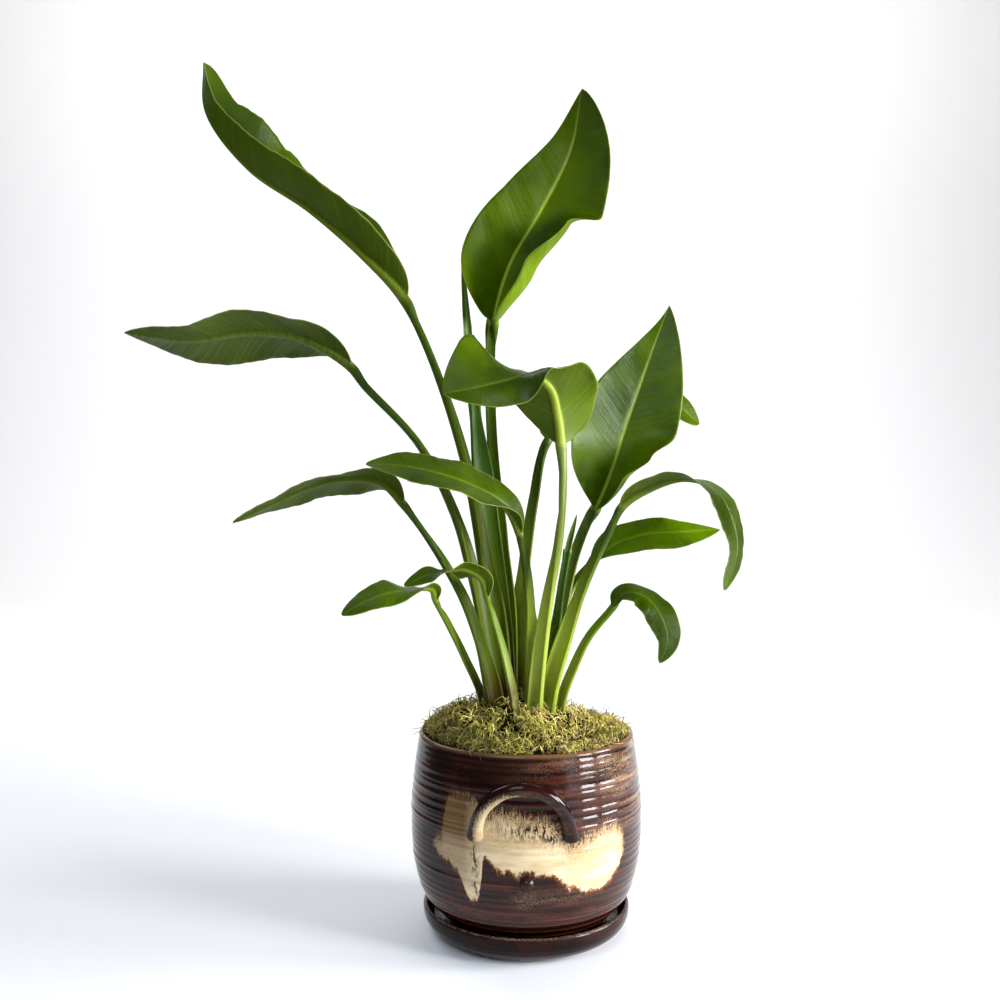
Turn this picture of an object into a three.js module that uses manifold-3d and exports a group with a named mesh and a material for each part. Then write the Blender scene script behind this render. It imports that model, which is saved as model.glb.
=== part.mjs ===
// Potted bird of paradise: fifteen leaves and leaf spears in a glazed stoneware planter with a
// loose saucer, soil and a moss mound. Millimetres, +Z up, origin at the centre of the saucer's
// flat underside, the arched handle with its knob towards -Y.
import * as THREE from 'three';
import { mergeVertices } from 'three/addons/utils/BufferGeometryUtils.js';
import Module from 'manifold-3d';

const wasm = await Module();
wasm.setup();

// ---- driving dimensions -------------------------------------------------------------------
const GAP = 0.35;                 // clearance between neighbouring pieces
const TURNS = 48;                 // facets around the pot and the saucer

// planter: outer profile as [radius, height], foot to rim
const POT_PROFILE = [[70, 8.35], [70, 12], [73, 17], [81, 24], [89, 33], [95, 45], [99.5, 60],
  [102, 78], [103, 97], [102.8, 115], [101, 140], [98.5, 160], [96.4, 174]];
const POT_RIM = { radius: 93.4, height: 178.5, round: 3 };
const POT_WALL = 6;
const FOOT_RING = { inner: 60, recess: 2.4 };
const DRAIN_RADIUS = 6;
const FLOOR_TOP = 18;
const FLOOR_CURVE = [[66, 3], [56, 0]];             // [radius, height above the floor]
const INSIDE_HEIGHTS = [160, 130, 95, 65, 45, 33, 26]; // where the inner wall is drawn

// saucer: outline as [radius, height], from under its middle over the lip to its floor
const SAUCER_PROFILE = [[0, 0], [70, 0], [75, 1.6], [84.5, 6], [90, 12], [92.3, 19], [92.3, 24.4],
  [90.9, 26], [88.9, 25.6], [87.7, 22], [85.6, 14], [81.5, 10], [76, 8.2], [72, 8], [0, 8]];

// arched coil handles with a knob below, on the front and on the back of the wall
const HANDLE = { halfSpan: 39, footHeight: 109, rise: 47, coil: 11.5, lift: 14.5, sunk: 1,
  turn: -2.7 };
const HANDLE_PAD = { radius: 7.13, flat: 0.6, tall: 1.15 };
const KNOB = { radius: 6, height: 76, proud: 0.5, turn: -0.8 };

// filling
const SOIL_TOP = 163;
// moss mound: relief of its surface, fading over reliefFade from the wall; from leanStart to the
// right it sinks by lean over leanRun
const MOSS = { radius: 89.3, edge: 176, crest: 23, relief: 2.2, reliefFade: 12,
  lean: 9, leanStart: 5, leanRun: 45, rings: 9, sectors: 36 };
const HOLE = { wider: 2, deeper: 2.4, corners: 12, squareness: 0.6 };  // round each stalk

// leaves: thickness of the lamina and of the midrib at the tip, narrowest half width, share of
// the stalk over which the blade's folds begin, and how finely a leaf is divided
const LAMINA = 1;
const TIP_THICKNESS = 1.6;
const NARROWEST = 0.8;
const FOLD_START = 0.94;
const STALK_RINGS = 8;
const BLADE_RINGS = 15;
const ACROSS = 3;

// Each leaf: path = root in the soil, stalk, foot of the blade, midrib, tip; face = direction
// that the upper face looks at each path point; footAt = path point where the blade starts;
// half = greatest half width left and right of the midrib; outline = where (first number) and
// how bluntly (second) that half width is reached; stalk = [share of the stalk's length, half
// width, thickness, wrap angle of the sheath]; fold = [share of the blade's length, rise and
// further curl of the left half, rise and further curl of the right half], in radians;
// wave = [height, number, phase] of the margin's ripples. Where a leaf differs: outlineRight =
// outline of its right half; rings = how finely its blade is divided; green = its colour.
const LEAVES = {
  frond_upper_left: {
    path: [[-20, 6, 150], [-21, 6, 201], [-26, 6, 267], [-36, 4, 330], [-52, 0, 419], [-84, -8, 517],
      [-108, -12, 564], [-142, -16, 600], [-190, -20, 640], [-243, -24, 675], [-279, -26, 723],
      [-280, -28, 765]],
    face: [[.3, -1, 0], [.3, -1, 0], [.4, -1, .1], [.6, -.6, .2], [.8, -.2, .4], [.85, 0, .5],
      [.8, 0, .6], [.7, 0, .7], [.6, 0, .75], [.65, 0, .7], [.8, 0, .5], [.9, -.1, .3]],
    footAt: 6, half: [41, 49], outline: [.85, .65], outlineRight: [1.1, .6],
    stalk: [[0, 9, 7, 1.4], [.3, 9, 7, 1.2], [.5, 6, 7.5, .6], [1, 4.6, 6, .3]],
    fold: [[0, .9, .3, .9, .3], [.2, .5, .35, .95, .3], [.42, .35, .4, .36, .4],
      [.6, .35, .45, .72, .4], [.75, .4, .5, 1.05, .35], [.9, .4, .5, 1, .3], [1, .3, .3, .9, .2]],
    wave: [.8, 2.5, 0],
  },
  frond_mid_left: {
    path: [[-21, -9, 150], [-24, -9, 204], [-33, -10, 260], [-47, -12, 323], [-62, -14, 374],
      [-94, -20, 437], [-139, -28, 485], [-154, -30, 503], [-197, -32, 526], [-240, -34, 530],
      [-291, -36, 523], [-347, -38, 530]],
    face: [[.5, -1, 0], [.5, -1, 0], [.5, -1, .1], [.7, -.6, .3], [.8, -.2, .5], [.6, 0, .7],
      [.5, .2, .8], [.3, .3, .9], [0, .4, .9], [0, .45, .9], [0, .4, .9], [0, .4, .9]],
    footAt: 7, half: [35, 41], outline: [.78, .8], outlineRight: [1, .65],
    stalk: [[0, 8, 6, 1.4], [.25, 9, 6, 1.1], [.42, 6, 6.5, .6], [1, 4.4, 5.5, .3]],
    fold: [[0, .5, -.2, .5, -.2], [.3, .15, -.4, .15, -.4], [.7, .1, -.2, .1, -.3], [1, .2, 0, .2, 0]],
    wave: [1.2, 2.5, 1],
  },
  frond_upper_right: {
    path: [[-17, 36, 150], [-17, 36, 197], [-18, 36, 272], [-22, 35, 347], [-31, 30, 449],
      [-32, 24, 522], [-30, 20, 549], [-14, 10, 600], [14, 4, 646], [40, 0, 698], [50, 0, 753]],
    face: [[.3, -1, 0], [.3, -1, 0], [.2, -1, 0], [.1, -1, 0], [.1, -1, 0], [.1, -1, .1], [.1, -1, .1],
      [.2, -1, .1], [.3, -1, 0], [.2, -1, -.1], [0, -1, -.1]],
    footAt: 6, half: [47, 62], outline: [.54, .95], outlineRight: [.56, .62],
    stalk: [[0, 9, 7, 1.4], [.3, 10, 7, .9], [.5, 5.4, 7, .6], [.65, 4.4, 6.5, .4], [1, 4.2, 6, .3]],
    fold: [[0, .8, .3, .8, 1.6], [.24, .1, .2, .1, 2.6], [.47, .1, 0, .1, 2.2],
      [.59, .1, -.1, .15, .35], [1, .1, 0, .1, 0]],
    wave: [1.5, 2, 0],
  },
  spear_tall: {
    path: [[-18, 21, 150], [-19, 21, 200], [-23, 21, 255], [-31, 21, 329], [-40, 20, 412],
      [-47, 18, 476], [-53, 15, 540], [-58, 12, 606]],
    face: [[.3, -1, 0], [.3, -1, 0], [.3, -1, 0], [.3, -1, 0], [.3, -1, 0], [.3, -1, 0], [.3, -1, 0],
      [.3, -1, 0]],
    footAt: 5, half: [3, 3], outline: [.7, .8],
    stalk: [[0, 9, 6, 1.4], [.4, 12, 6, .8], [.75, 10, 6, .9], [1, 4, 6, .6]],
    fold: [[0, 0, .6, 0, .6], [1, 0, .2, 0, .2]],
    wave: [0, 3, 0], rings: 8, green: 'spear',
  },
  frond_centre_folded: {
    path: [[5, -21, 150], [7, -22, 210], [16, -25, 288], [26, -29, 350], [30, -33, 403],
      [29, -36, 434], [26, -42, 458], [19, -58, 480], [1, -76, 491], [-19, -88, 484], [-44, -95, 477],
      [-69, -100, 472]],
    face: [[-.3, -1, .1], [-.3, -1, .1], [-.6, -.8, .1], [-.8, -.2, .2], [-.8, .4, .1], [-.3, 1, .1],
      [-.1, 1, .3], [0, .9, .5], [0, .1, 1], [0, -.8, .6], [0, -.9, .4], [0, -.9, .4]],
    footAt: 5, half: [39, 60], outline: [.52, .66], outlineRight: [1.3, .6],
    stalk: [[0, 7, 7, 1.5], [.35, 6, 6.5, .9], [.6, 4.4, 6, .5], [1, 4, 5, .3]],
    fold: [[0, .4, .2, .4, .2], [.42, .1, -.3, .45, -.1], [.7, .1, -.4, .1, -.2], [1, .1, 0, .1, 0]],
    wave: [1.5, 2.5, 0],
  },
  frond_broad_right: {
    path: [[21, 21, 150], [23, 20, 209], [33, 16, 282], [44, 10, 334], [57, 6, 368], [63, 5, 377],
      [79, -1, 418], [92, -3, 458], [102, -4, 487], [115, -3, 524], [129, 3, 560]],
    face: [[-.2, -1, .1], [-.2, -1, .1], [-.3, -1, .1], [-.3, -1, .1], [-.2, -1, .1], [0, -1, .1],
      [-.1, -1, .1], [-.2, -1, .1], [-.2, -1, .1], [-.2, -1, .1], [-.1, -1, .1]],
    footAt: 5, half: [52, 46], outline: [.62, 1.45], outlineRight: [.76, .8],
    stalk: [[0, 8, 6, 1.5], [.3, 7, 6, 1], [.6, 4.6, 6, .5], [1, 4.2, 5, .3]],
    fold: [[0, .55, .3, .6, 1.3], [.18, .5, .35, .1, 2.1], [.3, .5, .3, .1, 1.3],
      [.44, .45, .2, .1, .1], [.78, .3, .1, .1, .05], [1, .1, 0, .1, 0]],
    wave: [1.5, 2, 0],
  },
  frond_back_right: {
    path: [[-3, 50, 150], [-3, 50, 198], [-5, 50, 270], [0, 50, 327], [8, 50, 384], [22, 50, 441],
      [53, 60, 455], [103, 74, 476], [145, 84, 479], [173, 90, 458]],
    face: [[-.2, -1, .1], [-.2, -1, .1], [-.2, -1, .1], [-.2, -1, .1], [-.3, -1, .3], [-.6, -.6, .6],
      [-.3, -.6, .8], [0, -.6, .8], [.3, -.7, .6], [.5, -.7, .4]],
    footAt: 5, half: [33, 36], outline: [.62, .6], outlineRight: [1, .65],
    stalk: [[0, 7, 6, 1.5], [.35, 9, 6, 1.1], [.6, 5, 6, .5], [1, 4, 5, .3]],
    fold: [[0, .5, .2, .5, .2], [.4, .2, 0, .2, 0], [1, .1, 0, .1, 0]],
    wave: [2, 2.5, 0], rings: 12, green: 'low',
  },
  frond_drooping_right: {
    path: [[15, -7, 150], [20, -8, 211], [33, -11, 260], [53, -14, 318], [70, -16, 354],
      [84, -18, 380], [107, -22, 395], [138, -24, 404], [164, -26, 396], [177, -30, 375],
      [183, -34, 342], [171, -38, 307]],
    face: [[-.4, -1, .2], [-.4, -1, .2], [-.4, -1, .2], [-.6, -.7, .4], [-.7, -.3, .6], [-.5, 0, .9],
      [-.2, .05, 1], [.1, 0, 1], [.5, -.3, .7], [.85, -.45, .3], [.85, -.5, 0], [.8, -.6, -.1]],
    footAt: 5, half: [24, 30], outline: [1, .6], outlineRight: [.95, .6],
    stalk: [[0, 8, 7, 1.5], [.35, 8, 6.5, 1], [.65, 5, 6, .5], [1, 4, 5, .3]],
    fold: [[0, .6, .2, .6, .2], [.2, .25, .1, .4, .1], [.4, 0, -.2, 0, -.1], [.7, .1, -.1, 0, -.1],
      [1, 0, 0, 0, 0]],
    wave: [1.5, 2.5, 0],
  },
  frond_level_right: {
    path: [[18, 34, 150], [21, 34, 205], [33, 32, 272], [44, 30, 306], [62, 30, 326], [86, 28, 344],
      [115, 26, 353], [147, 24, 355], [180, 24, 357]],
    face: [[-.3, -1, .2], [-.3, -1, .2], [-.4, -.9, .2], [-.6, -.7, .3], [-.3, -.8, .5], [0, -.85, .5],
      [0, -.85, .5], [.1, -.9, .4], [.1, -.9, .3]],
    footAt: 4, half: [18, 19], outline: [.7, .95], outlineRight: [1, .8],
    stalk: [[0, 6, 5, 1.3], [.4, 5, 5, .8], [.7, 3, 4.5, .4], [1, 3, 4, .3]],
    fold: [[0, .4, .2, .5, .2], [.4, .1, -.4, .1, .3], [1, .1, 0, .1, 0]],
    wave: [1.5, 2.5, 0], rings: 12, green: 'low',
  },
  frond_low_right: {
    path: [[26, 0, 150], [32, -2, 206], [42, -6, 235], [55, -10, 263], [77, -14, 291], [84, -15, 301],
      [99, -17, 303], [111, -22, 295], [120, -27, 281], [124, -30, 262], [116, -32, 243]],
    face: [[-.5, -1, .3], [-.5, -1, .3], [-.5, -1, .4], [-.6, -.7, .5], [-.6, -.5, .6], [-.4, -.4, .8],
      [0, -.35, .9], [.4, -.6, .6], [.5, -.85, .1], [.4, -.95, -.1], [.4, -.95, -.1]],
    footAt: 4, half: [18, 16], outline: [.85, .6],
    stalk: [[0, 4.5, 5, .9], [.4, 4, 5, .6], [1, 3.2, 4.2, .3]],
    fold: [[0, .3, -.2, .3, -.2], [.4, -.05, -.2, -.1, -.3], [1, 0, -.1, 0, -.1]],
    wave: [.6, 2.5, 0], rings: 12, green: 'low',
  },
  frond_low_left: {
    path: [[-25, -23, 150], [-28, -23, 205], [-37, -23, 249], [-52, -24, 294], [-68, -24, 325],
      [-90, -30, 361], [-108, -34, 384], [-125, -36, 400], [-154, -40, 404], [-185, -46, 397],
      [-215, -52, 383], [-249, -60, 367]],
    face: [[.5, -1, .1], [.5, -1, .1], [.5, -1, .1], [.6, -.8, .3], [.7, -.5, .5], [.5, 0, .8],
      [.3, .3, .8], [.2, .4, .8], [0, .4, .9], [-.2, .3, .9], [-.3, .3, .9], [-.3, .3, .9]],
    footAt: 6, half: [23, 34], outline: [.7, .7],
    stalk: [[0, 8, 6, 1.5], [.25, 8, 6, 1.1], [.45, 4.6, 5.5, .5], [1, 3.6, 5, .3]],
    fold: [[0, .4, -.2, .4, -.2], [.4, 0, -.3, .1, -.3], [1, .1, 0, .1, 0]],
    wave: [1.5, 2.5, 0],
  },
  frond_centre_left: {
    path: [[5, 13, 150], [5, 12, 205], [6, 8, 257], [4, -2, 295], [0, -16, 332], [-6, -28, 357],
      [-20, -44, 382], [-46, -58, 398], [-74, -68, 408], [-101, -74, 414], [-134, -80, 416]],
    face: [[.3, -1, .1], [.3, -1, .1], [.3, -1, .1], [.4, -.9, .2], [.6, -.7, .4], [.7, -.5, .5],
      [.4, -.6, .7], [.1, -.6, .8], [0, -.6, .8], [0, -.6, .8], [0, -.5, .8]],
    footAt: 5, half: [27, 24], outline: [1.15, .6], outlineRight: [.95, .6],
    stalk: [[0, 6, 6, 1.5], [.5, 6, 6, 1.1], [.65, 4, 5.5, .5], [1, 3.6, 5, .3]],
    fold: [[0, .9, .3, .5, .2], [.4, .3, -.2, .2, -.3], [1, .1, 0, .1, 0]],
    wave: [1.5, 2.5, 0],
  },
  frond_small_left: {
    path: [[-38, 0, 150], [-38, 0, 202], [-54, -12, 245], [-69, -22, 278], [-79, -28, 298],
      [-83, -33, 308], [-96, -40, 309], [-119, -52, 306], [-139, -58, 299], [-157, -62, 289]],
    face: [[.5, -1, .3], [.5, -1, .3], [.6, -.8, .4], [.6, -.6, .5], [.5, .3, .6], [.1, .5, .8],
      [-.3, -.2, .9], [-.3, -.65, .7], [-.3, -.7, .7], [-.3, -.7, .7]],
    footAt: 4, half: [16, 18], outline: [1, .62],
    stalk: [[0, 4, 4.6, .7], [.4, 3.4, 4.4, .4], [1, 2.8, 4, .3]],
    fold: [[0, .3, -.2, .3, -.2], [.4, .1, -.3, .1, -.2], [1, 0, 0, 0, 0]],
    wave: [1, 2, 0], rings: 12, green: 'low',
  },
  frond_small_inner: {
    path: [[-6, -38, 150], [-10, -38, 208], [-19, -37, 252], [-27, -34, 279], [-34, -36, 302],
      [-40, -40, 318], [-54, -46, 326], [-70, -50, 325], [-87, -53, 321], [-105, -56, 313]],
    face: [[.5, -1, .3], [.5, -1, .3], [.5, -.8, .3], [.5, -.7, .3], [.9, .1, .4], [.6, .6, .6],
      [.1, .6, .8], [-.1, 0, 1], [-.3, -.7, .6], [-.3, -.7, .6]],
    footAt: 4, half: [13, 15], outline: [.8, .6],
    stalk: [[0, 4.6, 4.6, .9], [.4, 3.4, 4.4, .5], [1, 2.6, 4, .3]],
    fold: [[0, .5, .1, .4, .1], [.4, .1, -.1, .1, -.2], [1, 0, 0, 0, 0]],
    wave: [1, 2, 0], rings: 12, green: 'low',
  },
  spear_small: {
    path: [[13, 5, 150], [16, 4, 210], [25, 2, 258], [31, -2, 304], [37, -8, 340], [45, -10, 372]],
    face: [[-.2, -1, .2], [-.2, -1, .2], [-.2, -1, .2], [-.2, -1, .2], [-.2, -1, .2], [-.2, -1, .2]],
    footAt: 4, half: [1.5, 1.5], outline: [.7, .8],
    stalk: [[0, 5, 5, 1.4], [.5, 4, 5, 1.2], [.8, 2.6, 4.6, .6], [1, 2.4, 4.6, .6]],
    fold: [[0, 0, .6, 0, .6], [1, 0, .2, 0, .2]],
    wave: [0, 3, 0], rings: 6, green: 'spear',
  },
};

// ---- helpers ------------------------------------------------------------------------------
const { PI, sin, cos, hypot, max, min, sqrt, floor, abs } = Math;
const clamp01 = (t) => min(1, max(0, t));
const ease = (t) => t * t * (3 - 2 * t);
const rad = (degrees) => degrees * PI / 180;

// values of a list of [position, ...values] rows at a position, eased between the rows
function keyed(rows, at) {
  let i = 0;
  while (i < rows.length - 2 && at >= rows[i + 1][0]) i++;
  const [a, b] = [rows[i], rows[i + 1]];
  const t = ease(clamp01((at - a[0]) / (b[0] - a[0])));
  return a.slice(1).map((value, k) => value + (b[k + 1] - value) * t);
}

const positionsOnly = (geometry) => {
  const plain = new THREE.BufferGeometry();
  plain.setAttribute('position', geometry.getAttribute('position').clone());
  if (geometry.index) plain.setIndex(geometry.index.clone());
  return mergeVertices(plain, 1e-3);
};

function toSolid(geometry) {
  const merged = positionsOnly(geometry);
  return new wasm.Manifold(new wasm.Mesh({
    numProp: 3,
    vertProperties: new Float32Array(merged.getAttribute('position').array),
    triVerts: new Uint32Array(merged.index.array),
  }));
}

function toGeometry(solid) {
  const mesh = solid.getMesh();
  const geometry = new THREE.BufferGeometry();
  geometry.setAttribute('position', new THREE.BufferAttribute(new Float32Array(mesh.vertProperties), 3));
  geometry.setIndex(new THREE.BufferAttribute(new Uint32Array(mesh.triVerts), 1));
  return geometry;
}

// closed body from rings of equal count: side faces between the rings, end faces as strips
// between the first half of a ring and its second half, which runs back below the first
function loft(rings) {
  const n = rings[0].length;
  const half = n / 2;
  const positions = rings.flat().flatMap((p) => [p.x, p.y, p.z]);
  const index = [];
  const quad = (a, b, c, d) => index.push(a, b, c, a, c, d);
  for (let i = 0; i < rings.length - 1; i++) {
    for (let j = 0; j < n; j++) {
      const [a, b] = [i * n + j, i * n + (j + 1) % n];
      // the same diagonal on the lower face as on the upper one
      if (j < half) quad(a, b, b + n, a + n);
      else quad(b, b + n, a + n, a);
    }
  }
  const last = (rings.length - 1) * n;
  for (let j = 0; j < half - 1; j++) {
    quad(j, n - 1 - j, n - 2 - j, j + 1);
    quad(last + j, last + j + 1, last + n - 2 - j, last + n - 1 - j);
  }
  const geometry = new THREE.BufferGeometry();
  geometry.setAttribute('position', new THREE.Float32BufferAttribute(positions, 3));
  geometry.setIndex(index);
  return geometry;
}

// ---- leaves -------------------------------------------------------------------------------
// place, direction, side and facing at a distance along a leaf's path
function pathOf(leaf) {
  const points = leaf.path.map((p) => new THREE.Vector3(...p));
  const faces = leaf.face.map((p) => new THREE.Vector3(...p).normalize());
  const curve = new THREE.CatmullRomCurve3(points, false, 'centripetal');
  const spans = points.length - 1;
  const fine = 20;
  const samples = curve.getPoints(spans * fine);
  const lengths = [0];
  for (let i = 1; i < samples.length; i++) {
    lengths.push(lengths[i - 1] + samples[i].distanceTo(samples[i - 1]));
  }
  const at = (distance) => {
    let i = 0;
    while (i < lengths.length - 2 && lengths[i + 1] < distance) i++;
    const u = min(spans, (i + (distance - lengths[i]) / (lengths[i + 1] - lengths[i])) / fine);
    const k = min(spans - 1, floor(u));
    const along = curve.getTangent(u / spans);
    const facing = faces[k].clone().lerp(faces[k + 1], ease(u - k));
    facing.addScaledVector(along, -facing.dot(along)).normalize();
    return { centre: curve.getPoint(u / spans), facing, side: along.clone().cross(facing) };
  };
  return { at, footLength: lengths[leaf.footAt * fine], length: lengths[lengths.length - 1] };
}

// half widths, thickness and folds of the section at a distance along the path
function sectionOf(leaf, distance, footLength, length) {
  const c = min(1, distance / footLength);
  const v = max(0, (distance - footLength) / (length - footLength));
  const [stalkHalf, stalkThick, wrap] = keyed(leaf.stalk, c);
  const [, footHalf, footThick] = leaf.stalk[leaf.stalk.length - 1];
  const spread = ([where, bluntness]) => (v > 0 ? max(0, sin(PI * v ** where)) ** bluntness : 0);
  const rib = v > 0 ? footHalf * sqrt(1 - v) : stalkHalf;
  const widths = [spread(leaf.outline), spread(leaf.outlineRight ?? leaf.outline)]
    .map((share, s) => max(NARROWEST, hypot(rib, leaf.half[s] * share)));
  let folds = keyed(leaf.fold, v);
  if (v <= 0) {
    const fade = ease(clamp01((c - FOLD_START) / (1 - FOLD_START)));
    folds = folds.map((angle, k) => angle * fade + (k % 2 ? wrap : 0));
  }
  const thick = v > 0
    ? TIP_THICKNESS + (footThick - TIP_THICKNESS) * (1 - v) ** 1.6 : stalkThick;
  return { v, rib: max(NARROWEST, rib), widths, folds, thick, ripple: spread(leaf.outline) };
}

// one ring: upper face from the left margin to the right one, lower face back again
function ringOf(leaf, distance, route) {
  const { centre, facing, side } = route.at(distance);
  const s = sectionOf(leaf, distance, route.footLength, route.length);
  const [waveHeight, waves, phase] = leaf.wave;
  const [upper, lower] = [[], []];
  for (let j = -ACROSS; j <= ACROSS; j++) {
    const hand = j < 0 ? -1 : 1;
    const k = j < 0 ? 0 : 1;
    const t = (abs(j) / ACROSS) ** 1.5;
    const rise = s.folds[2 * k];
    const curl = abs(s.folds[2 * k + 1]) < 1e-3 ? 1e-3 : s.folds[2 * k + 1];
    const angle = j === 0 ? 0 : rise + curl * t;
    const out = s.widths[k] * (sin(rise + curl * t) - sin(rise)) / curl;
    const up = s.widths[k] * (cos(rise) - cos(rise + curl * t)) / curl
      + waveHeight * t * t * s.ripple * sin(2 * PI * waves * s.v + phase + hand);
    const depth = LAMINA + (s.thick - LAMINA) * sqrt(max(0, 1 - (s.widths[k] * t / s.rib) ** 2));
    const top = centre.clone().addScaledVector(side, hand * out).addScaledVector(facing, up);
    upper.push(top);
    lower.unshift(top.clone().addScaledVector(side, hand * sin(angle) * depth)
      .addScaledVector(facing, -cos(angle) * depth));
  }
  return [...upper, ...lower];
}

function leafGeometry(leaf) {
  const route = pathOf(leaf);
  const rings = [];
  for (let i = 0; i < STALK_RINGS; i++) rings.push(i / STALK_RINGS * route.footLength);
  const blade = route.length - route.footLength;
  const bladeRings = leaf.rings ?? BLADE_RINGS;
  for (let i = 0; i <= bladeRings; i++) rings.push(route.footLength + i / bladeRings * blade);
  return loft(rings.map((distance) => ringOf(leaf, distance, route)));
}

// slanted rounded prism a little wider than a stalk's lower end, used to cut its hole
function stalkHole(leaf, bottom, top) {
  const [root, next] = [new THREE.Vector3(...leaf.path[0]), new THREE.Vector3(...leaf.path[1])];
  const facing = new THREE.Vector3(...leaf.face[0]).setZ(0).normalize();
  const side = facing.clone().cross(new THREE.Vector3(0, 0, 1));
  const [, half, thick, wrap] = leaf.stalk[0];
  const reach = half * (1 - cos(wrap)) / wrap;
  const wide = half * (wrap > 1 ? 0.86 : 1) + HOLE.wider;
  const deep = (reach + thick) / 2 + HOLE.deeper;
  const n = HOLE.corners;
  const level = (z) => {
    const t = (z - root.z) / (next.z - root.z);
    const middle = root.clone().lerp(next, t).addScaledVector(facing, (reach - thick) / 2);
    const bulge = (value) => Math.sign(value) * abs(value) ** HOLE.squareness;
    return Array.from({ length: n }, (_, k) => middle.clone()
      .addScaledVector(side, wide * bulge(cos(k * 2 * PI / n)))
      .addScaledVector(facing, deep * bulge(sin(k * 2 * PI / n))));
  };
  const rings = [level(bottom), level(top)];
  const positions = rings.flat().flatMap((p) => [p.x, p.y, p.z]);
  const index = [];
  for (let k = 0; k < n; k++) {
    const after = (k + 1) % n;
    index.push(k, after, after + n, k, after + n, k + n);
    if (k > 0 && k < n - 1) index.push(0, k + 1, k, n, n + k, n + k + 1);
  }
  const geometry = new THREE.BufferGeometry();
  geometry.setAttribute('position', new THREE.Float32BufferAttribute(positions, 3));
  geometry.setIndex(index);
  return toSolid(geometry);
}

// ---- turned ware --------------------------------------------------------------------------
// revolve a profile of [radius, height] points about +Z
function turned(profile, segments = TURNS) {
  const lathe = new THREE.LatheGeometry(profile.map(([r, z]) => new THREE.Vector2(r, z)), segments);
  return lathe.rotateX(PI / 2);
}

const outerCurve = new THREE.SplineCurve(POT_PROFILE.map(([r, z]) => new THREE.Vector2(r, z)));
const outerPoints = outerCurve.getPoints(17);

// radius of the pot's outer wall at a height
function wallRadius(z) {
  let i = 0;
  while (i < outerPoints.length - 2 && outerPoints[i + 1].y < z) i++;
  const [a, b] = [outerPoints[i], outerPoints[i + 1]];
  return a.x + (b.x - a.x) * clamp01((z - a.y) / (b.y - a.y));
}

function potShell() {
  const { radius, height, round } = POT_RIM;
  const outer = outerPoints.map((p) => [p.x, p.y]);
  const rim = [0, 0.25, 0.5, 0.75, 1].map((t) => [
    radius + round * cos(t * PI), height - round + round * sin(t * PI)]);
  const inner = INSIDE_HEIGHTS.map((z) => [wallRadius(z) - POT_WALL, z]);
  const floorLine = [...FLOOR_CURVE.map(([r, up]) => [r, FLOOR_TOP + up]),
    [DRAIN_RADIUS, FLOOR_TOP - 0.6]];
  const recess = POT_PROFILE[0][1] + FOOT_RING.recess;
  const under = [[DRAIN_RADIUS, recess], [FOOT_RING.inner - 2, recess], [FOOT_RING.inner, outer[0][1]]];
  const loop = [...outer, ...rim, ...inner, ...floorLine, ...under];
  return toSolid(turned([...loop, loop[0]]));
}

// coil handle bent to an arch that leans out from the wall
function handleParts(direction) {
  const steps = 24;
  const points = Array.from({ length: steps + 1 }, (_, i) => {
    const a = i / steps * PI;
    const x = HANDLE.halfSpan * cos(a);
    const z = HANDLE.footHeight + HANDLE.rise * sin(a) ** 0.9;
    const wall = sqrt(wallRadius(z) ** 2 - x * x);
    const out = wall - HANDLE.sunk + (HANDLE.lift + HANDLE.sunk) * sin(a) ** 0.8;
    return new THREE.Vector3(x, -out, z);
  });
  const ring = new THREE.Shape();
  ring.absarc(0, 0, HANDLE.coil / 2, 0, 2 * PI, false);
  const coil = new THREE.ExtrudeGeometry(ring, {
    steps: 22, curveSegments: 6, bevelEnabled: false,
    extrudePath: new THREE.CatmullRomCurve3(points, false, 'centripetal'),
  });
  const pads = [-1, 1].map((hand) => {
    const pad = new THREE.SphereGeometry(HANDLE_PAD.radius, 10, 6)
      .scale(1, HANDLE_PAD.flat, HANDLE_PAD.tall);
    const x = hand * HANDLE.halfSpan;
    const wall = sqrt(wallRadius(HANDLE.footHeight) ** 2 - x * x);
    return pad.translate(x, HANDLE.sunk / 2 - wall, HANDLE.footHeight + HANDLE.sunk);
  });
  const knob = new THREE.SphereGeometry(KNOB.radius, 12, 8)
    .translate(0, -(wallRadius(KNOB.height) + KNOB.proud), KNOB.height)
    .rotateZ(rad(KNOB.turn - HANDLE.turn));
  return [coil, ...pads, knob]
    .map((geometry) => toSolid(geometry.rotateZ(rad(direction + HANDLE.turn))));
}

function potGeometry() {
  return toGeometry([...handleParts(0), ...handleParts(180)]
    .reduce((pot, piece) => pot.add(piece), potShell()));
}

// ---- filling ------------------------------------------------------------------------------
// relief of the moss surface
const tuft = (x, y) => MOSS.relief * (sin(x * 0.16 + 1.3) * cos(y * 0.19 - 0.4)
  + 0.6 * sin(x * 0.31 - y * 0.27) + 0.4 * cos(x * 0.11 + y * 0.43));

function mossSolid() {
  const profile = [[0, SOIL_TOP + GAP], [MOSS.radius, SOIL_TOP + GAP], [MOSS.radius, MOSS.edge]];
  for (let i = MOSS.rings - 1; i >= 0; i--) {
    const share = i / MOSS.rings;
    profile.push([MOSS.radius * share, MOSS.edge + MOSS.crest * (1 - share ** 2.4) ** 0.8]);
  }
  const geometry = positionsOnly(turned(profile, MOSS.sectors));
  const at = geometry.getAttribute('position');
  for (let i = 0; i < at.count; i++) {
    const [x, y, z] = [at.getX(i), at.getY(i), at.getZ(i)];
    const fade = min(1, (MOSS.radius - hypot(x, y)) / MOSS.reliefFade);
    const leaning = ease(min(1, max(0, (x - MOSS.leanStart) / MOSS.leanRun)));
    if (z > MOSS.edge + GAP) at.setZ(i, z + (tuft(x, y) - MOSS.lean * leaning) * fade);
  }
  return toSolid(geometry);
}

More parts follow.
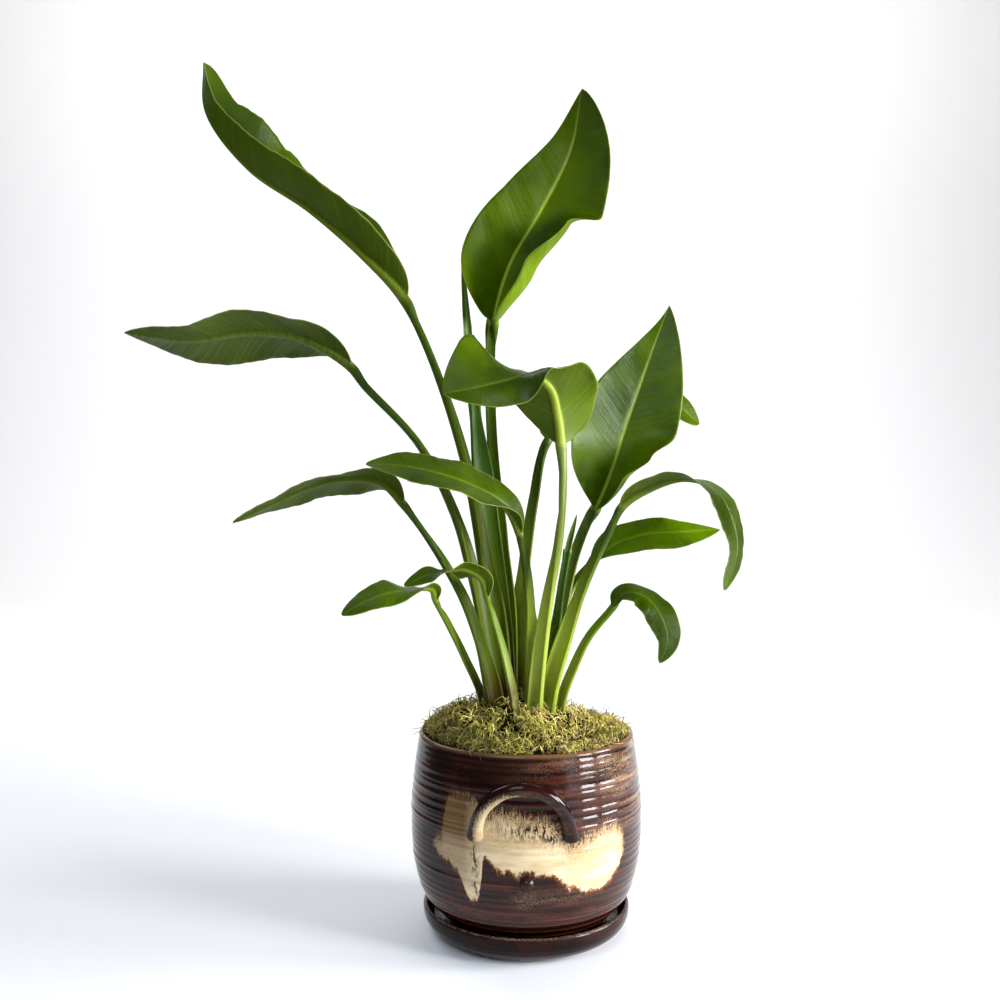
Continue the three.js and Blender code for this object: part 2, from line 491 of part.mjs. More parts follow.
function soilSolid() {
  const heights = [...INSIDE_HEIGHTS.filter((z) => z < SOIL_TOP - 10).reverse(), SOIL_TOP];
  const inner = heights.map((z) => [wallRadius(z) - POT_WALL - GAP, z]);
  const bottom = [...FLOOR_CURVE].reverse().map(([r, up]) => [r - GAP, FLOOR_TOP + up + 2 * GAP]);
  return toSolid(turned([[0, FLOOR_TOP + GAP], ...bottom, ...inner, [0, SOIL_TOP]]));
}

// ---- assembly -----------------------------------------------------------------------------
const object = new THREE.Group();

function addPiece(name, geometry, color, roughness) {
  const mesh = new THREE.Mesh(geometry, new THREE.MeshStandardMaterial({
    color, roughness, metalness: 0, flatShading: true }));
  mesh.name = name;
  object.add(mesh);
}

addPiece('saucer', turned(SAUCER_PROFILE), '#3a1c12', 0.2);
addPiece('pot', potGeometry(), '#4a2416', 0.18);

const leaves = Object.entries(LEAVES);
const holes = (bottom, top) => leaves.map(([, leaf]) => stalkHole(leaf, bottom, top));
const rootDepth = SOIL_TOP - 14;
addPiece('soil', toGeometry(holes(rootDepth, SOIL_TOP + 7)
  .reduce((solid, hole) => solid.subtract(hole), soilSolid())), '#2a1d14', 0.95);
addPiece('moss', toGeometry(holes(SOIL_TOP - 6, MOSS.edge + MOSS.crest + 14)
  .reduce((solid, hole) => solid.subtract(hole), mossSolid())), '#6f6a26', 0.95);

const GREENS = { blade: '#3c6416', low: '#4d7a1e', spear: '#47701f' };
for (const [name, leaf] of leaves) {
  addPiece(name, leafGeometry(leaf), GREENS[leaf.green ?? 'blade'], 0.35);
}

export default object;
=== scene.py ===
"""Potted bird of paradise in a glazed stoneware planter: fifteen leaves and leaf spears, a moss
mound on potting mix, and a loose saucer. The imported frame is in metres; MM turns this object's
own sizes, which are kept in millimetres, into metres."""
import math
import bpy
import numpy as np
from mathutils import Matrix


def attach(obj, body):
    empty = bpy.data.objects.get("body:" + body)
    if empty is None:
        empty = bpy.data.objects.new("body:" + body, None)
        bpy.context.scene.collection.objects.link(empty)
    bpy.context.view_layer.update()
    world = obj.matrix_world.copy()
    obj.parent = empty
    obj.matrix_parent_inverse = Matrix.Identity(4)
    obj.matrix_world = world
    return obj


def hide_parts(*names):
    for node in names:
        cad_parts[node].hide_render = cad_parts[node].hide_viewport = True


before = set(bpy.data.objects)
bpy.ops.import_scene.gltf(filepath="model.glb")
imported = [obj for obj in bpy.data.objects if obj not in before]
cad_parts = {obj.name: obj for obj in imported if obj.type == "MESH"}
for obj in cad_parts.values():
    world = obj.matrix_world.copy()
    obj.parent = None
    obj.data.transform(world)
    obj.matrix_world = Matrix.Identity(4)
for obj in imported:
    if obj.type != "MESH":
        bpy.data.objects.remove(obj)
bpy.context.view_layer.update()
MM = 0.001


# ---- camera -------------------------------------------------------------------------------
# A hand-held camera a little under a metre in front of the planter, at the height of the
# upper leaves' stalks, looking almost level.
CAMERA_PLACE = (-0.0234, -0.949, 0.400)
CAMERA_TILT = 0.92            # degrees below level
SENSOR_WIDTH = 36
FRAME_PIXELS = 1000
FOCAL_PIXELS = 1054

camera_data = bpy.data.cameras.new("camera")
camera_data.sensor_width = SENSOR_WIDTH
camera_data.lens = SENSOR_WIDTH * FOCAL_PIXELS / FRAME_PIXELS
camera = bpy.data.objects.new("camera", camera_data)
camera.location = CAMERA_PLACE
camera.rotation_euler = (math.radians(90 - CAMERA_TILT), 0, 0)
bpy.context.collection.objects.link(camera)
bpy.context.scene.camera = camera


# ---- floor and light ----------------------------------------------------------------------
# A plain pale cloth that sweeps up behind, with a lamp of its own; outside a wedge that widens
# away from the camera it carries painted shade, dim as if the light fell off there. Light comes
# from a tall window of two panes on the right, with a bluish curtain, from high up in front, and
# from behind on the left.
def linear(hex_colour):
    """A web colour as linear RGBA: each channel is ((c + 0.055) / 1.055) ** 2.4."""
    parts = [int(hex_colour[i:i + 2], 16) / 255 for i in (1, 3, 5)]
    return [((c + 0.055) / 1.055) ** 2.4 if c > 0.04045 else c / 12.92 for c in parts] + [1.0]


def mesh_object(name, places, blocks):
    """A smooth-shaded object at the origin with those places, in metres, and blocks of faces."""
    mesh = bpy.data.meshes.new(name)
    mesh.from_pydata(places.tolist(), [], [face for block in blocks for face in block.tolist()])
    mesh.polygons.foreach_set("use_smooth", np.ones(len(mesh.polygons), bool))
    mesh.update()
    piece = bpy.data.objects.new(name, mesh)
    bpy.context.collection.objects.link(piece)
    return piece


class Finish:
    """One material, built up as sums on its node tree's sockets."""

    def __init__(self, name):
        self.material = bpy.data.materials.new(name)
        self.material.use_nodes = True
        self.tree = self.material.node_tree
        self.shader = self.tree.nodes["Principled BSDF"]

    def add(self, kind, inputs=(), out=0, **settings):
        """A node of that kind, its inputs filled in order with values or links; None is left."""
        made = self.tree.nodes.new(kind)
        for key, value in settings.items():
            setattr(made, key, value)
        for socket, value in zip(made.inputs, inputs):
            self.fill(socket, value)
        return made.outputs[out]

    def fill(self, socket, value):
        """Links a socket to another one, or sets its value, which may be a web colour."""
        if isinstance(value, bpy.types.NodeSocket):
            self.tree.links.new(value, socket)
        elif value is not None:
            socket.default_value = linear(value) if isinstance(value, str) else value

    def place(self, stretch=(1, 1, 1)):
        """Object coordinates, stretched along X, Y and Z."""
        where = self.add("ShaderNodeTexCoord", out=3)
        return self.add("ShaderNodeVectorMath", (where, stretch), operation="MULTIPLY")

    def axis(self, number):
        """One object coordinate in metres: 0 is X, 1 is Y, 2 is Z."""
        return self.add("ShaderNodeSeparateXYZ", (self.place(),), number)

    def field(self, name):
        """A value that the piece's own mesh carries at each vertex."""
        return self.add("ShaderNodeAttribute", out=2, attribute_name=name)

    def sum(self, operation, *values):
        """An arithmetic node."""
        return self.add("ShaderNodeMath", values, operation=operation)

    def times(self, *values):
        """The product of two values."""
        return self.sum("MULTIPLY", *values)

    def plus(self, *values):
        """Two values added."""
        return self.sum("ADD", *values)

    def scaled(self, colour, amount):
        """A colour made brighter or darker."""
        return self.add("ShaderNodeVectorMath", (colour, None, None, amount), operation="SCALE")

    def grain(self, where, scale, detail=3.0, rough=0.55):
        """Cloudy noise between about 0.2 and 0.8, at a place or at the place so stretched."""
        where = self.place(where) if isinstance(where, tuple) else where
        return self.add("ShaderNodeTexNoise", (where, None, scale, detail, rough))

    def step(self, value, low, high, start=0.0, end=1.0):
        """Rises smoothly from start to end as the value goes from low to high."""
        return self.add("ShaderNodeMapRange", (value, low, high, start, end),
                        interpolation_type="SMOOTHSTEP")

    def mix(self, share, first, second):
        """First colour where the share is 0, second where it is 1."""
        return self.add("ShaderNodeMix", (share, *[None] * 5, first, second), 2, data_type="RGBA")

    def coats(self, colour, *layers):
        """A colour, and over it one layer after another, each a share and its own colour."""
        for share, tint in layers:
            colour = self.mix(share, colour, tint)
        return colour

    def bumps(self, height, depth, strength=1.0):
        """A normal from a height, depth metres for a height of 1."""
        made = self.add("ShaderNodeBump")
        for name, value in (("Strength", strength), ("Distance", depth), ("Height", height)):
            self.fill(made.node.inputs[name], value)
        return made

    def finish(self, colour, roughness, normal=None, **fixed):
        """Fills the surface shader; fixed are its sockets that are the same all over."""
        for name, value in (("Base Color", colour), ("Roughness", roughness), ("Normal", normal)):
            self.fill(self.shader.inputs[name], value)
        for name, value in fixed.items():
            self.shader.inputs[name.replace("_", " ")].default_value = value
        return self.material

    def lit_through(self, colour, share):
        """Lets that share of the light through the surface, in that colour."""
        through = self.add("ShaderNodeBsdfTranslucent", (colour,))
        both = self.add("ShaderNodeMixShader", (share, self.shader.outputs[0], through))
        self.fill(self.tree.nodes["Material Output"].inputs["Surface"], both)


def cloth_with_painted_shade():
    """Nearly white, with painted shade outside the wedge that opens from the camera to the back,
    where it is dim as if the light fell off: how far a place is past its edge is the size of X
    less half of Y."""
    paint = Finish("cloth_with_painted_shade")
    past = paint.sum("SUBTRACT", paint.sum("ABSOLUTE", paint.axis(0)),
                     paint.times(paint.axis(1), 0.5))
    return paint.finish(paint.mix(paint.step(past, 0.6, 1.0), "#f9f8f7", "#6f6a64"), 0.7)


FLOOR_HALF, SWEEP_START, SWEEP_ROUND, SWEEP_TOP = 9.0, 2.6, 2.0, 6.0
rise = np.linspace(0, np.pi / 2, 40)
sweep = np.array([(-FLOOR_HALF, 0), *zip(SWEEP_START + SWEEP_ROUND * np.sin(rise),
                                         SWEEP_ROUND * (1 - np.cos(rise))),
                  (SWEEP_START + SWEEP_ROUND, SWEEP_TOP)])
floor_places = np.array([(x, y, z) for x in (-FLOOR_HALF, FLOOR_HALF) for y, z in sweep])
first = np.arange(len(sweep) - 1)
floor = mesh_object("floor", floor_places, [np.stack(
    [first, first + len(sweep), first + len(sweep) + 1, first + 1], 1)])
floor.data.materials.append(cloth_with_painted_shade())


def soft_light(name, place, aim, size, power, tint="#ffffff"):
    """A rectangular area light at a place, turned so that its face looks at the aim."""
    data = bpy.data.lights.new(name, "AREA")
    data.shape = "RECTANGLE"
    data.size, data.size_y = size
    data.energy = power
    data.color = linear(tint)[:3]
    lamp = bpy.data.objects.new(name, data)
    lamp.location = place
    away = np.array(place) - np.array(aim)
    lamp.rotation_euler = (math.acos(away[2] / np.linalg.norm(away)), 0,
                           math.atan2(away[1], away[0]) + math.pi / 2)
    bpy.context.collection.objects.link(lamp)


soft_light("window_near_pane", (1.66, -0.91, 0.60), (0, 0, 0.2), (0.50, 0.75), 47, "#f6f9ff")
soft_light("window_far_pane", (1.86, -0.17, 0.60), (0, 0, 0.2), (0.62, 0.75), 50, "#f8faff")
soft_light("window_curtain", (1.38, -1.42, 0.46), (0, 0, 0.35), (0.45, 0.9), 4, "#b0d8ff")
soft_light("room_front", (-0.9, -2.3, 2.3), (0, 0, 0.35), (1.6, 1.6), 37, "#e0edff")
soft_light("room_left_behind", (-1.5, 1.3, 2.0), (0, 0, 0.3), (1.0, 1.0), 12, "#eef3ff")
soft_light("sweep_lamp", (0, 1.6, 3.6), (0, 4.6, 1.2), (5, 1), 155)

world = bpy.data.worlds.new("room")
bpy.context.scene.world = world
world.use_nodes = True
world.node_tree.nodes["Background"].inputs["Color"].default_value = linear("#f4f8ff")
world.node_tree.nodes["Background"].inputs["Strength"].default_value = 0.14
bpy.context.scene.view_settings.view_transform = "Standard"


# ---- saucer -------------------------------------------------------------------------------
# A thrown stoneware saucer with a rounded wall and a thin, gritty lip, dipped in the same
# dark iron glaze as the planter. The planter stands loose on its floor.
SAUCER_FLOOR, SAUCER_LIP = 8, 26          # heights of its floor's top and of its lip
SAUCER_OUTLINE = [(70, 0), (75, 1.6), (84.5, 6), (90, 12), (92.2, 18.5), (92.2, 24.2),
                  (91.6, 25.5), (90.6, SAUCER_LIP), (89.4, 25.8), (88.2, 24), (87.4, 20),
                  (85.6, 14), (81.5, 10), (76, 8.2), (72, SAUCER_FLOOR)]
SAUCER_RINGS, SAUCER_PITCH = 0.2, 3.2     # height and pitch of the thrown rings
SAUCER_WALL = 78              # radius from which the wall carries them
RINGS_REACH = 185             # height up to which rings are thrown
CURVE_STEPS = 20              # points that a smooth curve has between two given ones


def carry(piece, **fields):
    """Gives the mesh one value per vertex under each name."""
    for name, values in fields.items():
        layer = piece.data.attributes.new(name, "FLOAT", "POINT")
        layer.data.foreach_set("value", np.ascontiguousarray(values, dtype=np.float32).ravel())


def hill(value, middle, width):
    """A smooth hump, 1 at the middle: e to the power of -((value - middle) / width) squared."""
    return np.exp(-((value - middle) / width) ** 2)


def grid_faces(rows, columns, wrap_rows=False, wrap_columns=False):
    """Quads between neighbouring grid points, numbered row by row; wrapped where it closes."""
    r = np.arange(rows if wrap_rows else rows - 1)[:, None]
    c = np.arange(columns if wrap_columns else columns - 1)[None, :]
    r2, c2 = (r + 1) % rows, (c + 1) % columns
    return np.stack([r * columns + c, r * columns + c2, r2 * columns + c2, r2 * columns + c],
                    axis=-1).reshape(-1, 4)


def curve_through(points):
    """Points of a smooth curve: between two given points it is a cubic whose slopes there come
    from the neighbours, weighed by the square roots of the distances between them."""
    points = np.asarray(points, float)
    ends = np.vstack([2 * points[0] - points[1], points, 2 * points[-1] - points[-2]])
    t = np.arange(CURVE_STEPS)[:, None] / CURVE_STEPS
    line = []
    for p0, p1, p2, p3 in zip(ends, ends[1:], ends[2:], ends[3:]):
        a, b, c = (np.linalg.norm(q - p) ** 0.5 for p, q in ((p0, p1), (p1, p2), (p2, p3)))
        m1 = ((p1 - p0) / a - (p2 - p0) / (a + b) + (p2 - p1) / b) * b
        m2 = ((p2 - p1) / b - (p3 - p1) / (b + c) + (p3 - p2) / c) * b
        line.append(p1 + m1 * t + (3 * (p2 - p1) - 2 * m1 - m2) * t ** 2
                    + (m1 + m2 - 2 * (p2 - p1)) * t ** 3)
    return np.vstack([*line, points[-1:]])


def way_gone(line):
    """How far along a line each of its points is."""
    return np.r_[0, np.cumsum(np.linalg.norm(np.diff(line, axis=0), axis=1))]


def smooth_outline(points, count):
    """Evenly spaced points along a smooth curve through an outline's points."""
    line = curve_through(points)
    gone = way_gone(line)
    at = np.linspace(0, gone[-1], count)
    return np.stack([np.interp(at, gone, column) for column in line.T], axis=1)


def thrown_rings(height, angle, pitch, seed):
    """Uneven ridges left by a potter's fingers: rounded bumps at unevenly spaced heights, each
    about a third of the pitch wide, tilting slightly round the pot and fading in and out."""
    chance = np.random.default_rng(seed)
    total = np.zeros(np.broadcast(height, angle).shape)
    level = 0.0
    while level < RINGS_REACH:
        level += pitch * chance.uniform(0.6, 1.5)
        tilt = chance.uniform(-0.5, 0.5) * np.sin(angle + chance.uniform(0, 6.28))
        strength = chance.uniform(0.4, 1.0) * (
            0.75 + 0.25 * np.sin(2 * angle + chance.uniform(0, 6.28)))
        total += strength * hill(height - tilt, level, 0.3 * pitch)
    return total


def round_steps(count):
    """Evenly spaced angles round a circle."""
    return np.arange(count) / count * 2 * np.pi


def capped(grid, first_pole, last_pole):
    """Places and faces of a grid that closes round its columns, with a fan of triangles from
    its first row to one pole and from its last row to the other."""
    rows, around = grid.shape[:2]
    ring = np.arange(around)
    after, last = (ring + 1) % around, (rows - 1) * around
    pole = np.full(around, rows * around)
    return (np.vstack([grid.reshape(-1, 3), [first_pole, last_pole]]),
            [grid_faces(rows, around, False, True), np.stack([pole, after, ring], 1),
             np.stack([pole + 1, last + ring, last + after], 1)])


def turned(outline, around, ring_height=0, pitch=1, seed=0):
    """A closed surface of revolution. Each outline point goes round the Z axis, and its radius
    grows by the thrown rings times the ring height there. Returns places in millimetres and
    the faces; an outline that starts and ends on the axis gets a single point there."""
    angle = round_steps(around)
    radius, height = outline[:, :1], outline[:, 1:]
    rings = thrown_rings(height, angle[None, :], pitch, seed) if seed else 0
    grown = radius + np.asarray(ring_height)[..., None] * rings
    places = np.stack([grown * np.cos(angle), grown * np.sin(angle),
                       np.broadcast_to(height, (len(outline), around))], axis=-1)
    if outline[0, 0] < 1e-6:
        return capped(places[1:-1], (0, 0, outline[0, 1]), (0, 0, outline[-1, 1]))
    return places.reshape(-1, 3), [grid_faces(len(outline), around, True, True)]


def piece_from(name, places, blocks):
    """A piece from places in millimetres and blocks of faces. If the volume that the faces
    enclose comes out negative, all of them are turned round."""
    volume = 0.0
    for block in blocks:
        a, b, c, d = (places[block[:, corner]] for corner in (0, 1, 2, -1))
        volume += np.sum(np.cross(a, b) * c) + np.sum(np.cross(a, c) * d)
    return mesh_object(name, places * MM, blocks if volume > 0 else [b[:, ::-1] for b in blocks])


def dress(piece, material, node):
    """Lays the material on a piece that takes the place of a node and stands with the rest."""
    piece.data.materials.append(material)
    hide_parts(node)
    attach(piece, "root")


def saucer_glaze():
    """Dark iron glaze: nearly black red-brown, broken to a lighter gritty brown along the lip."""
    glaze = Finish("saucer_glaze")
    where = glaze.place((1, 1, 3))
    body = glaze.mix(glaze.step(glaze.grain(where, 38), 0.35, 0.65), "#100403", "#280d08")
    worn = glaze.times(glaze.field("lip"), glaze.step(glaze.grain(where, 900, 2), 0.5, 0.62))
    pitted = glaze.bumps(glaze.grain(where, 320, 2), 0.0002, 0.4)
    return glaze.finish(glaze.mix(worn, body, "#9a8272"), glaze.step(worn, 0, 1, 0.12, 0.42),
                        pitted, Specular_IOR_Level=0.15)


saucer_outline = np.vstack([[0, 0], smooth_outline(SAUCER_OUTLINE, 150), [0, SAUCER_FLOOR]])
on_wall = (saucer_outline[:, 0] > SAUCER_WALL) & (saucer_outline[:, 1] > 1)
places, faces = turned(saucer_outline, 220, SAUCER_RINGS * on_wall, SAUCER_PITCH, 5)
saucer = piece_from("saucer_glazed", places, faces)
carry(saucer, lip=hill(places[:, 2], SAUCER_LIP, 1.1))
dress(saucer, saucer_glaze(), "saucer")


# ---- planter ------------------------------------------------------------------------------
# A wheel-thrown stoneware pot, strongly ringed by the fingers, standing on a turned foot with
# a drain hole. Dipped in an iron-red glaze, with a cream glaze poured over the handle side
# that ran down in tongues and broke to rust where it thinned. The back is taken to match.
POT_OUTLINE = [(70, 8.35), (70, 12), (73, 17), (81, 24), (89, 33), (95, 45), (99.5, 60),
               (102, 78), (103, 97), (102.8, 115), (101, 140), (98.5, 160), (96.4, 174)]
POT_RIM_MIDDLE, POT_RIM_TOP, POT_RIM_ROUND = 93.4, 178.5, 3
POT_WALL = 6
POT_FLOOR, POT_DRAIN, POT_FOOT_INNER, POT_FOOT_UNDER = 18, 6, 60, 10.8
POT_INSIDE_LEVELS = np.array([160, 140, 115, 90, 65, 48, 36, 27])
RING_PITCH, RING_SEED = 5.2, 11
HANDLE_TURN = math.radians(-2.7)          # the handle sits a little left of straight ahead
KNOB_RADIUS, KNOB_HEIGHT, KNOB_TURN = 6.0, 76, math.radians(-0.8)
WALL_REACH = 101              # radius at which distances along the wall are taken
KNOB_ALONG = (KNOB_TURN - HANDLE_TURN) * WALL_REACH
POUR_LEFT, POUR_RIGHT = -84, 96           # ends of the poured cream along the wall
KNOB_SPARED = 8.5             # radius of the ring round the knob that the cream spares
# lower edge of the poured cream: distance along the wall from below the handle, and height
POUR_LOW = [(-88, 96), (-80, 92), (-74, 89), (-66, 86), (-58, 80), (-52, 73), (-50, 63), (-47, 57),
            (-43, 56), (-39, 59), (-36, 66), (-34.5, 77), (-33, 92), (-30, 96), (-25, 91), (-20, 86),
            (-15, 84), (-12, 88), (-8, 84), (-5, 80), (3, 80), (11, 84), (18, 84), (24, 81),
            (33, 74), (44, 68), (55, 65), (72, 63), (82, 70), (90, 78), (97, 92)]
# its upper edge, where the cream thins out to specks
POUR_TOP = [(-88, 96), (-80, 104), (-73, 106), (-70, 134), (-66, 143), (-56, 144), (-41, 142),
            (-30, 131), (-14, 132), (0, 130), (20, 128), (30, 118), (38, 106), (46, 108), (58, 112),
            (70, 116), (84, 116), (94, 106), (99, 92)]
# spots of beige mist and of dark run: strength, place along the wall, its width, height, its width
MIST_SPOTS = [(0.5, 72, 22, 125, 18), (0.55, 30, 34, 165, 12), (0.9, KNOB_ALONG - 2, 11, 61, 7),
              (0.5, 36, 30, 62, 6)]
RUN_SPOTS = [(1, 4, 24, 119, 8), (1, 25, 9, 116, 11)]


def wall_radius(height):
    """Radius of the planter's outer wall at a height, without its rings."""
    return np.interp(height, smooth_pot[:, 1], smooth_pot[:, 0])


def ramp(value, start, end):
    """0 at the start and before it, rising or falling evenly to 1 at the end."""
    return np.clip((value - start) / (end - start), 0, 1)


def stoneware_glaze():
    """Iron-red glaze with a cream pour. The cream covers where the vertex distances from its
    lower and upper edges are both inside; the lower edge is cut sharp by fine noise, the upper
    one breaks up in specks drawn down the wall. Rust shows along the lower edge, beige mist
    at the shoulder, and crests of rings show lighter. Painted shade darkens the left edge, where
    the glaze mirrors a dark room, and the same field darkens the body high up and the handles."""
    glaze = Finish("stoneware_glaze")
    where, around = glaze.place(), glaze.place((0.25, 0.25, 1.6))
    ring, pour_low, pour_top, mist, shade, run, tan, lip = (glaze.field(name) for name in (
        "ring", "pour_low", "pour_top", "mist", "shade", "run", "tan", "lip"))

    def torn(distance, noise, depth):
        """A distance from an edge, changed by the noise, less a half, times the depth."""
        return glaze.sum("MULTIPLY_ADD", glaze.sum("SUBTRACT", noise, 0.5), depth, distance)

    speck = glaze.grain((1, 1, 0.55), 1300, 2, 0.7)
    misty = glaze.plus(speck, glaze.times(glaze.grain(around, 90, 4), 0.8))
    iron = glaze.coats(
        "#0e0302", (glaze.step(glaze.grain(around, 26, 4), 0.34, 0.66), "#34100a"),
        (glaze.times(ring, 0.5), "#7a4430"),
        (glaze.step(glaze.grain((0.4, 0.4, 2.2), 60, 4, 0.7), 0.46, 0.62, 0, 0.75), "#160705"),
        # painted shade darkens the left edge; the same field darkens the body high up and the handles
        (glaze.times(shade, 0.9), "#0d0504"),
        (glaze.times(mist, glaze.step(misty, 0.82, 1.16)), "#94785c"))
    low = torn(pour_low, glaze.grain((1, 1, 0.6), 130, 6, 0.8), 24.0)
    top = torn(torn(pour_top, glaze.grain((1, 1, 0.18), 700, 4, 0.75), 34.0), speck, 30.0)
    thick = glaze.step(glaze.plus(top, glaze.times(glaze.grain(where, 700, 3), 14.0)), 2, 24)
    patchy = glaze.step(glaze.grain((0.3, 0.3, 1), 55, 4, 0.6), 0.42, 0.62)
    dots = glaze.times(glaze.step(speck, 0.60, 0.66), glaze.step(pour_top, 44, 4))
    runny = glaze.times(run, glaze.step(glaze.grain((1, 1, 0.3), 460, 3, 0.7), 0.47, 0.56))
    cream = glaze.coats(
        "#85663c", (thick, "#e2cda5"), (glaze.times(patchy, 0.55), "#b89661"),
        (glaze.times(ring, 0.4), "#a98655"), (glaze.times(tan, 0.95), "#6b4c28"),
        (glaze.sum("MAXIMUM", dots, runny), "#1d120e"))
    rust = glaze.times(glaze.step(low, -3.0, -0.6), glaze.step(low, 2.4, -0.2))
    rust = glaze.times(rust, glaze.step(pour_top, 0, 16))
    colour = glaze.coats(
        iron, (glaze.times(glaze.step(low, -0.25, 0.35), glaze.step(top, -3, 3)), cream),
        (glaze.times(rust, 0.9), "#6e3c10"), (glaze.times(lip, 0.6), "#8c6240"))
    pitted = glaze.plus(glaze.grain(where, 380, 2), glaze.grain(around, 420, 3))
    rough = glaze.step(glaze.grain(where, 70, 3), 0.3, 0.7, 0.05, 0.12)
    return glaze.finish(colour, rough, glaze.bumps(pitted, 0.0002, 0.35), Specular_IOR_Level=0.25)


def pour_fields(places):
    """How the glazes lie at each place, in millimetres along the wall from below the nearer
    handle: distance inside the cream's lower and upper edges, which spares a ring round the
    knob, and shares of the painted shade at the left edge, where the glaze mirrors a dark room,
    with a darkening high on the body, of the beige mist at the right shoulder, the dark run below
    the handle's foot, and the tan left end of the pour."""
    x, y, z = places.T
    turn = np.arctan2(x, -y) - HANDLE_TURN
    along = ((turn + np.pi / 2) % np.pi - np.pi / 2) * WALL_REACH
    sides = np.minimum(along - POUR_LEFT, POUR_RIGHT - along)
    knob_gap = np.hypot(along - KNOB_ALONG, z - KNOB_HEIGHT) - KNOB_SPARED
    low = np.minimum(np.minimum(z - np.interp(along, *zip(*POUR_LOW)), sides), knob_gap)
    top = np.minimum(np.interp(along, *zip(*POUR_TOP)) - z, sides * 1.5)
    mist, run = (sum(strength * hill(along, there, wide) * hill(z, level, tall)
                     for strength, there, wide, level, tall in spots)
                 for spots in (MIST_SPOTS, RUN_SPOTS))
    mist = mist + ramp(along + (z - 150) * 0.5, 60, 90) * ramp(z, 95, 145) * ramp(along, 150, 125)
    run = run + hill(along, -40, 3.2) * ramp(z, 108, 102) * ramp(z, 58, 66)
    # painted shade at the left edge, where the glaze mirrors a dark room, and a darkening high on the
    # body
    shade = hill(along, POUR_LEFT, 13) * ramp(z, 40, 70) \
        + 0.7 * hill(along, -30, 48) * ramp(z, 125, 155)
    tan = ramp(along, -36, -50) * (0.6 * ramp(z, 62, 82) + 0.4 * ramp(z, 100, 112))
    return dict(pour_low=low, pour_top=top, shade=shade.clip(0, 1), mist=mist.clip(0, 1),
                run=run.clip(0, 1), tan=tan)


smooth_pot = smooth_outline(POT_OUTLINE, 270)
rim_turn = np.linspace(0, np.pi, 9)[:, None]
rim = np.hstack([POT_RIM_MIDDLE + POT_RIM_ROUND * np.cos(rim_turn),
                 POT_RIM_TOP - POT_RIM_ROUND + POT_RIM_ROUND * np.sin(rim_turn)])
inside = np.stack([wall_radius(POT_INSIDE_LEVELS) - POT_WALL, POT_INSIDE_LEVELS], 1)
below = [(66, POT_FLOOR + 3), (56, POT_FLOOR), (POT_DRAIN, POT_FLOOR - 0.6),
         (POT_DRAIN, POT_FOOT_UNDER), (POT_FOOT_INNER - 2, POT_FOOT_UNDER),
         (POT_FOOT_INNER, POT_OUTLINE[0][1])]
pot_outline = np.vstack([smooth_pot, rim, inside, below])
# rings stand full on the body and finer near the rim, and there are none inside
on_body = np.arange(len(pot_outline)) < len(smooth_pot)
ring_height = on_body * (0.26 + 0.62 * ramp(pot_outline[:, 1], 160, 132)) \
    * ramp(pot_outline[:, 1], 14, 26)
places, faces = turned(pot_outline, 320, ring_height, RING_PITCH, RING_SEED)
pot = piece_from("planter_body", places, faces)
crest = thrown_rings(places[:, 2], np.arctan2(places[:, 1], places[:, 0]) % (2 * np.pi),
                     RING_PITCH, RING_SEED)
carry(pot, ring=crest.clip(0, 1), lip=hill(places[:, 2], POT_RIM_TOP - 1, 1.5),
      **pour_fields(places))
planter_finish = stoneware_glaze()
dress(pot, planter_finish, "pot")


# ---- handles and knobs --------------------------------------------------------------------
# Each handle is a round coil of clay bent to an arch, its ends thumbed flat on the wall and
# its crown leaning out for the fingers; a pressed ball of clay sits below it. Both were fixed
# to the wall with slip before glazing.
HANDLE_HALF_SPAN, HANDLE_FOOT, HANDLE_RISE, HANDLE_COIL, HANDLE_LIFT = 39, 109, 47, 11.5, 14.5


def turned_about_z(places, angle):
    """Places turned about the Z axis by an angle."""
    c, s = math.cos(angle), math.sin(angle)
    return places @ np.array([[c, s, 0], [-s, c, 0], [0, 0, 1]])


def unit(directions):
    """Directions brought to a length of 1."""
    return directions / np.linalg.norm(directions, axis=-1)[..., None]


def round_section(side, other, corners):
    """The corners of a round section at each place: the cosine of each angle times one
    direction across, plus its sine times the other."""
    angle = round_steps(corners)[:, None]
    return np.cos(angle) * side[..., None, :] + np.sin(angle) * other[..., None, :]


def coil_arch(steps=150, sides=40):
    """A round section carried along the arch: x is the half span times the cosine of a, the
    height rises with the sine of a, and the distance from the wall grows with it too. The
    section widens at both feet, and swells a little unevenly along the coil. Returns places,
    faces, how far each place looks inward, and its share of the way."""
    a = np.linspace(0.0, np.pi, steps)
    x = HANDLE_HALF_SPAN * np.cos(a)
    z = HANDLE_FOOT + HANDLE_RISE * np.sin(a) ** 0.9
    wall = np.sqrt(wall_radius(z) ** 2 - x ** 2)
    middle = np.stack([x, -(wall - 1 + (HANDLE_LIFT + 1) * np.sin(a) ** 0.8), z], 1)
    along = unit(np.gradient(middle, axis=0))
    inward = np.array([0, 0, HANDLE_FOOT]) - middle
    inward[:, 1] = 0
    inward = unit(inward - along * np.sum(inward * along, 1)[:, None])
    end = np.minimum(a, np.pi - a)
    radius = HANDLE_COIL / 2 * (1 + 0.03 * np.sin(9 * a) + 0.35 * hill(end, 0, 0.13))
    radius = radius * np.sqrt(np.clip(end / 0.05, 0.02, 1))
    section = round_section(inward, np.cross(along, inward), sides)
    places = middle[:, None, :] + radius[:, None, None] * section
    inner = np.broadcast_to(np.cos(round_steps(sides)), (steps, sides)).ravel()
    share = np.repeat(a / np.pi, sides)
    first_end = np.arange(sides)[None, :]
    ends = [first_end, first_end[:, ::-1] + (steps - 1) * sides]
    return places.reshape(-1, 3), [grid_faces(steps, sides, False, True), *ends], inner, share


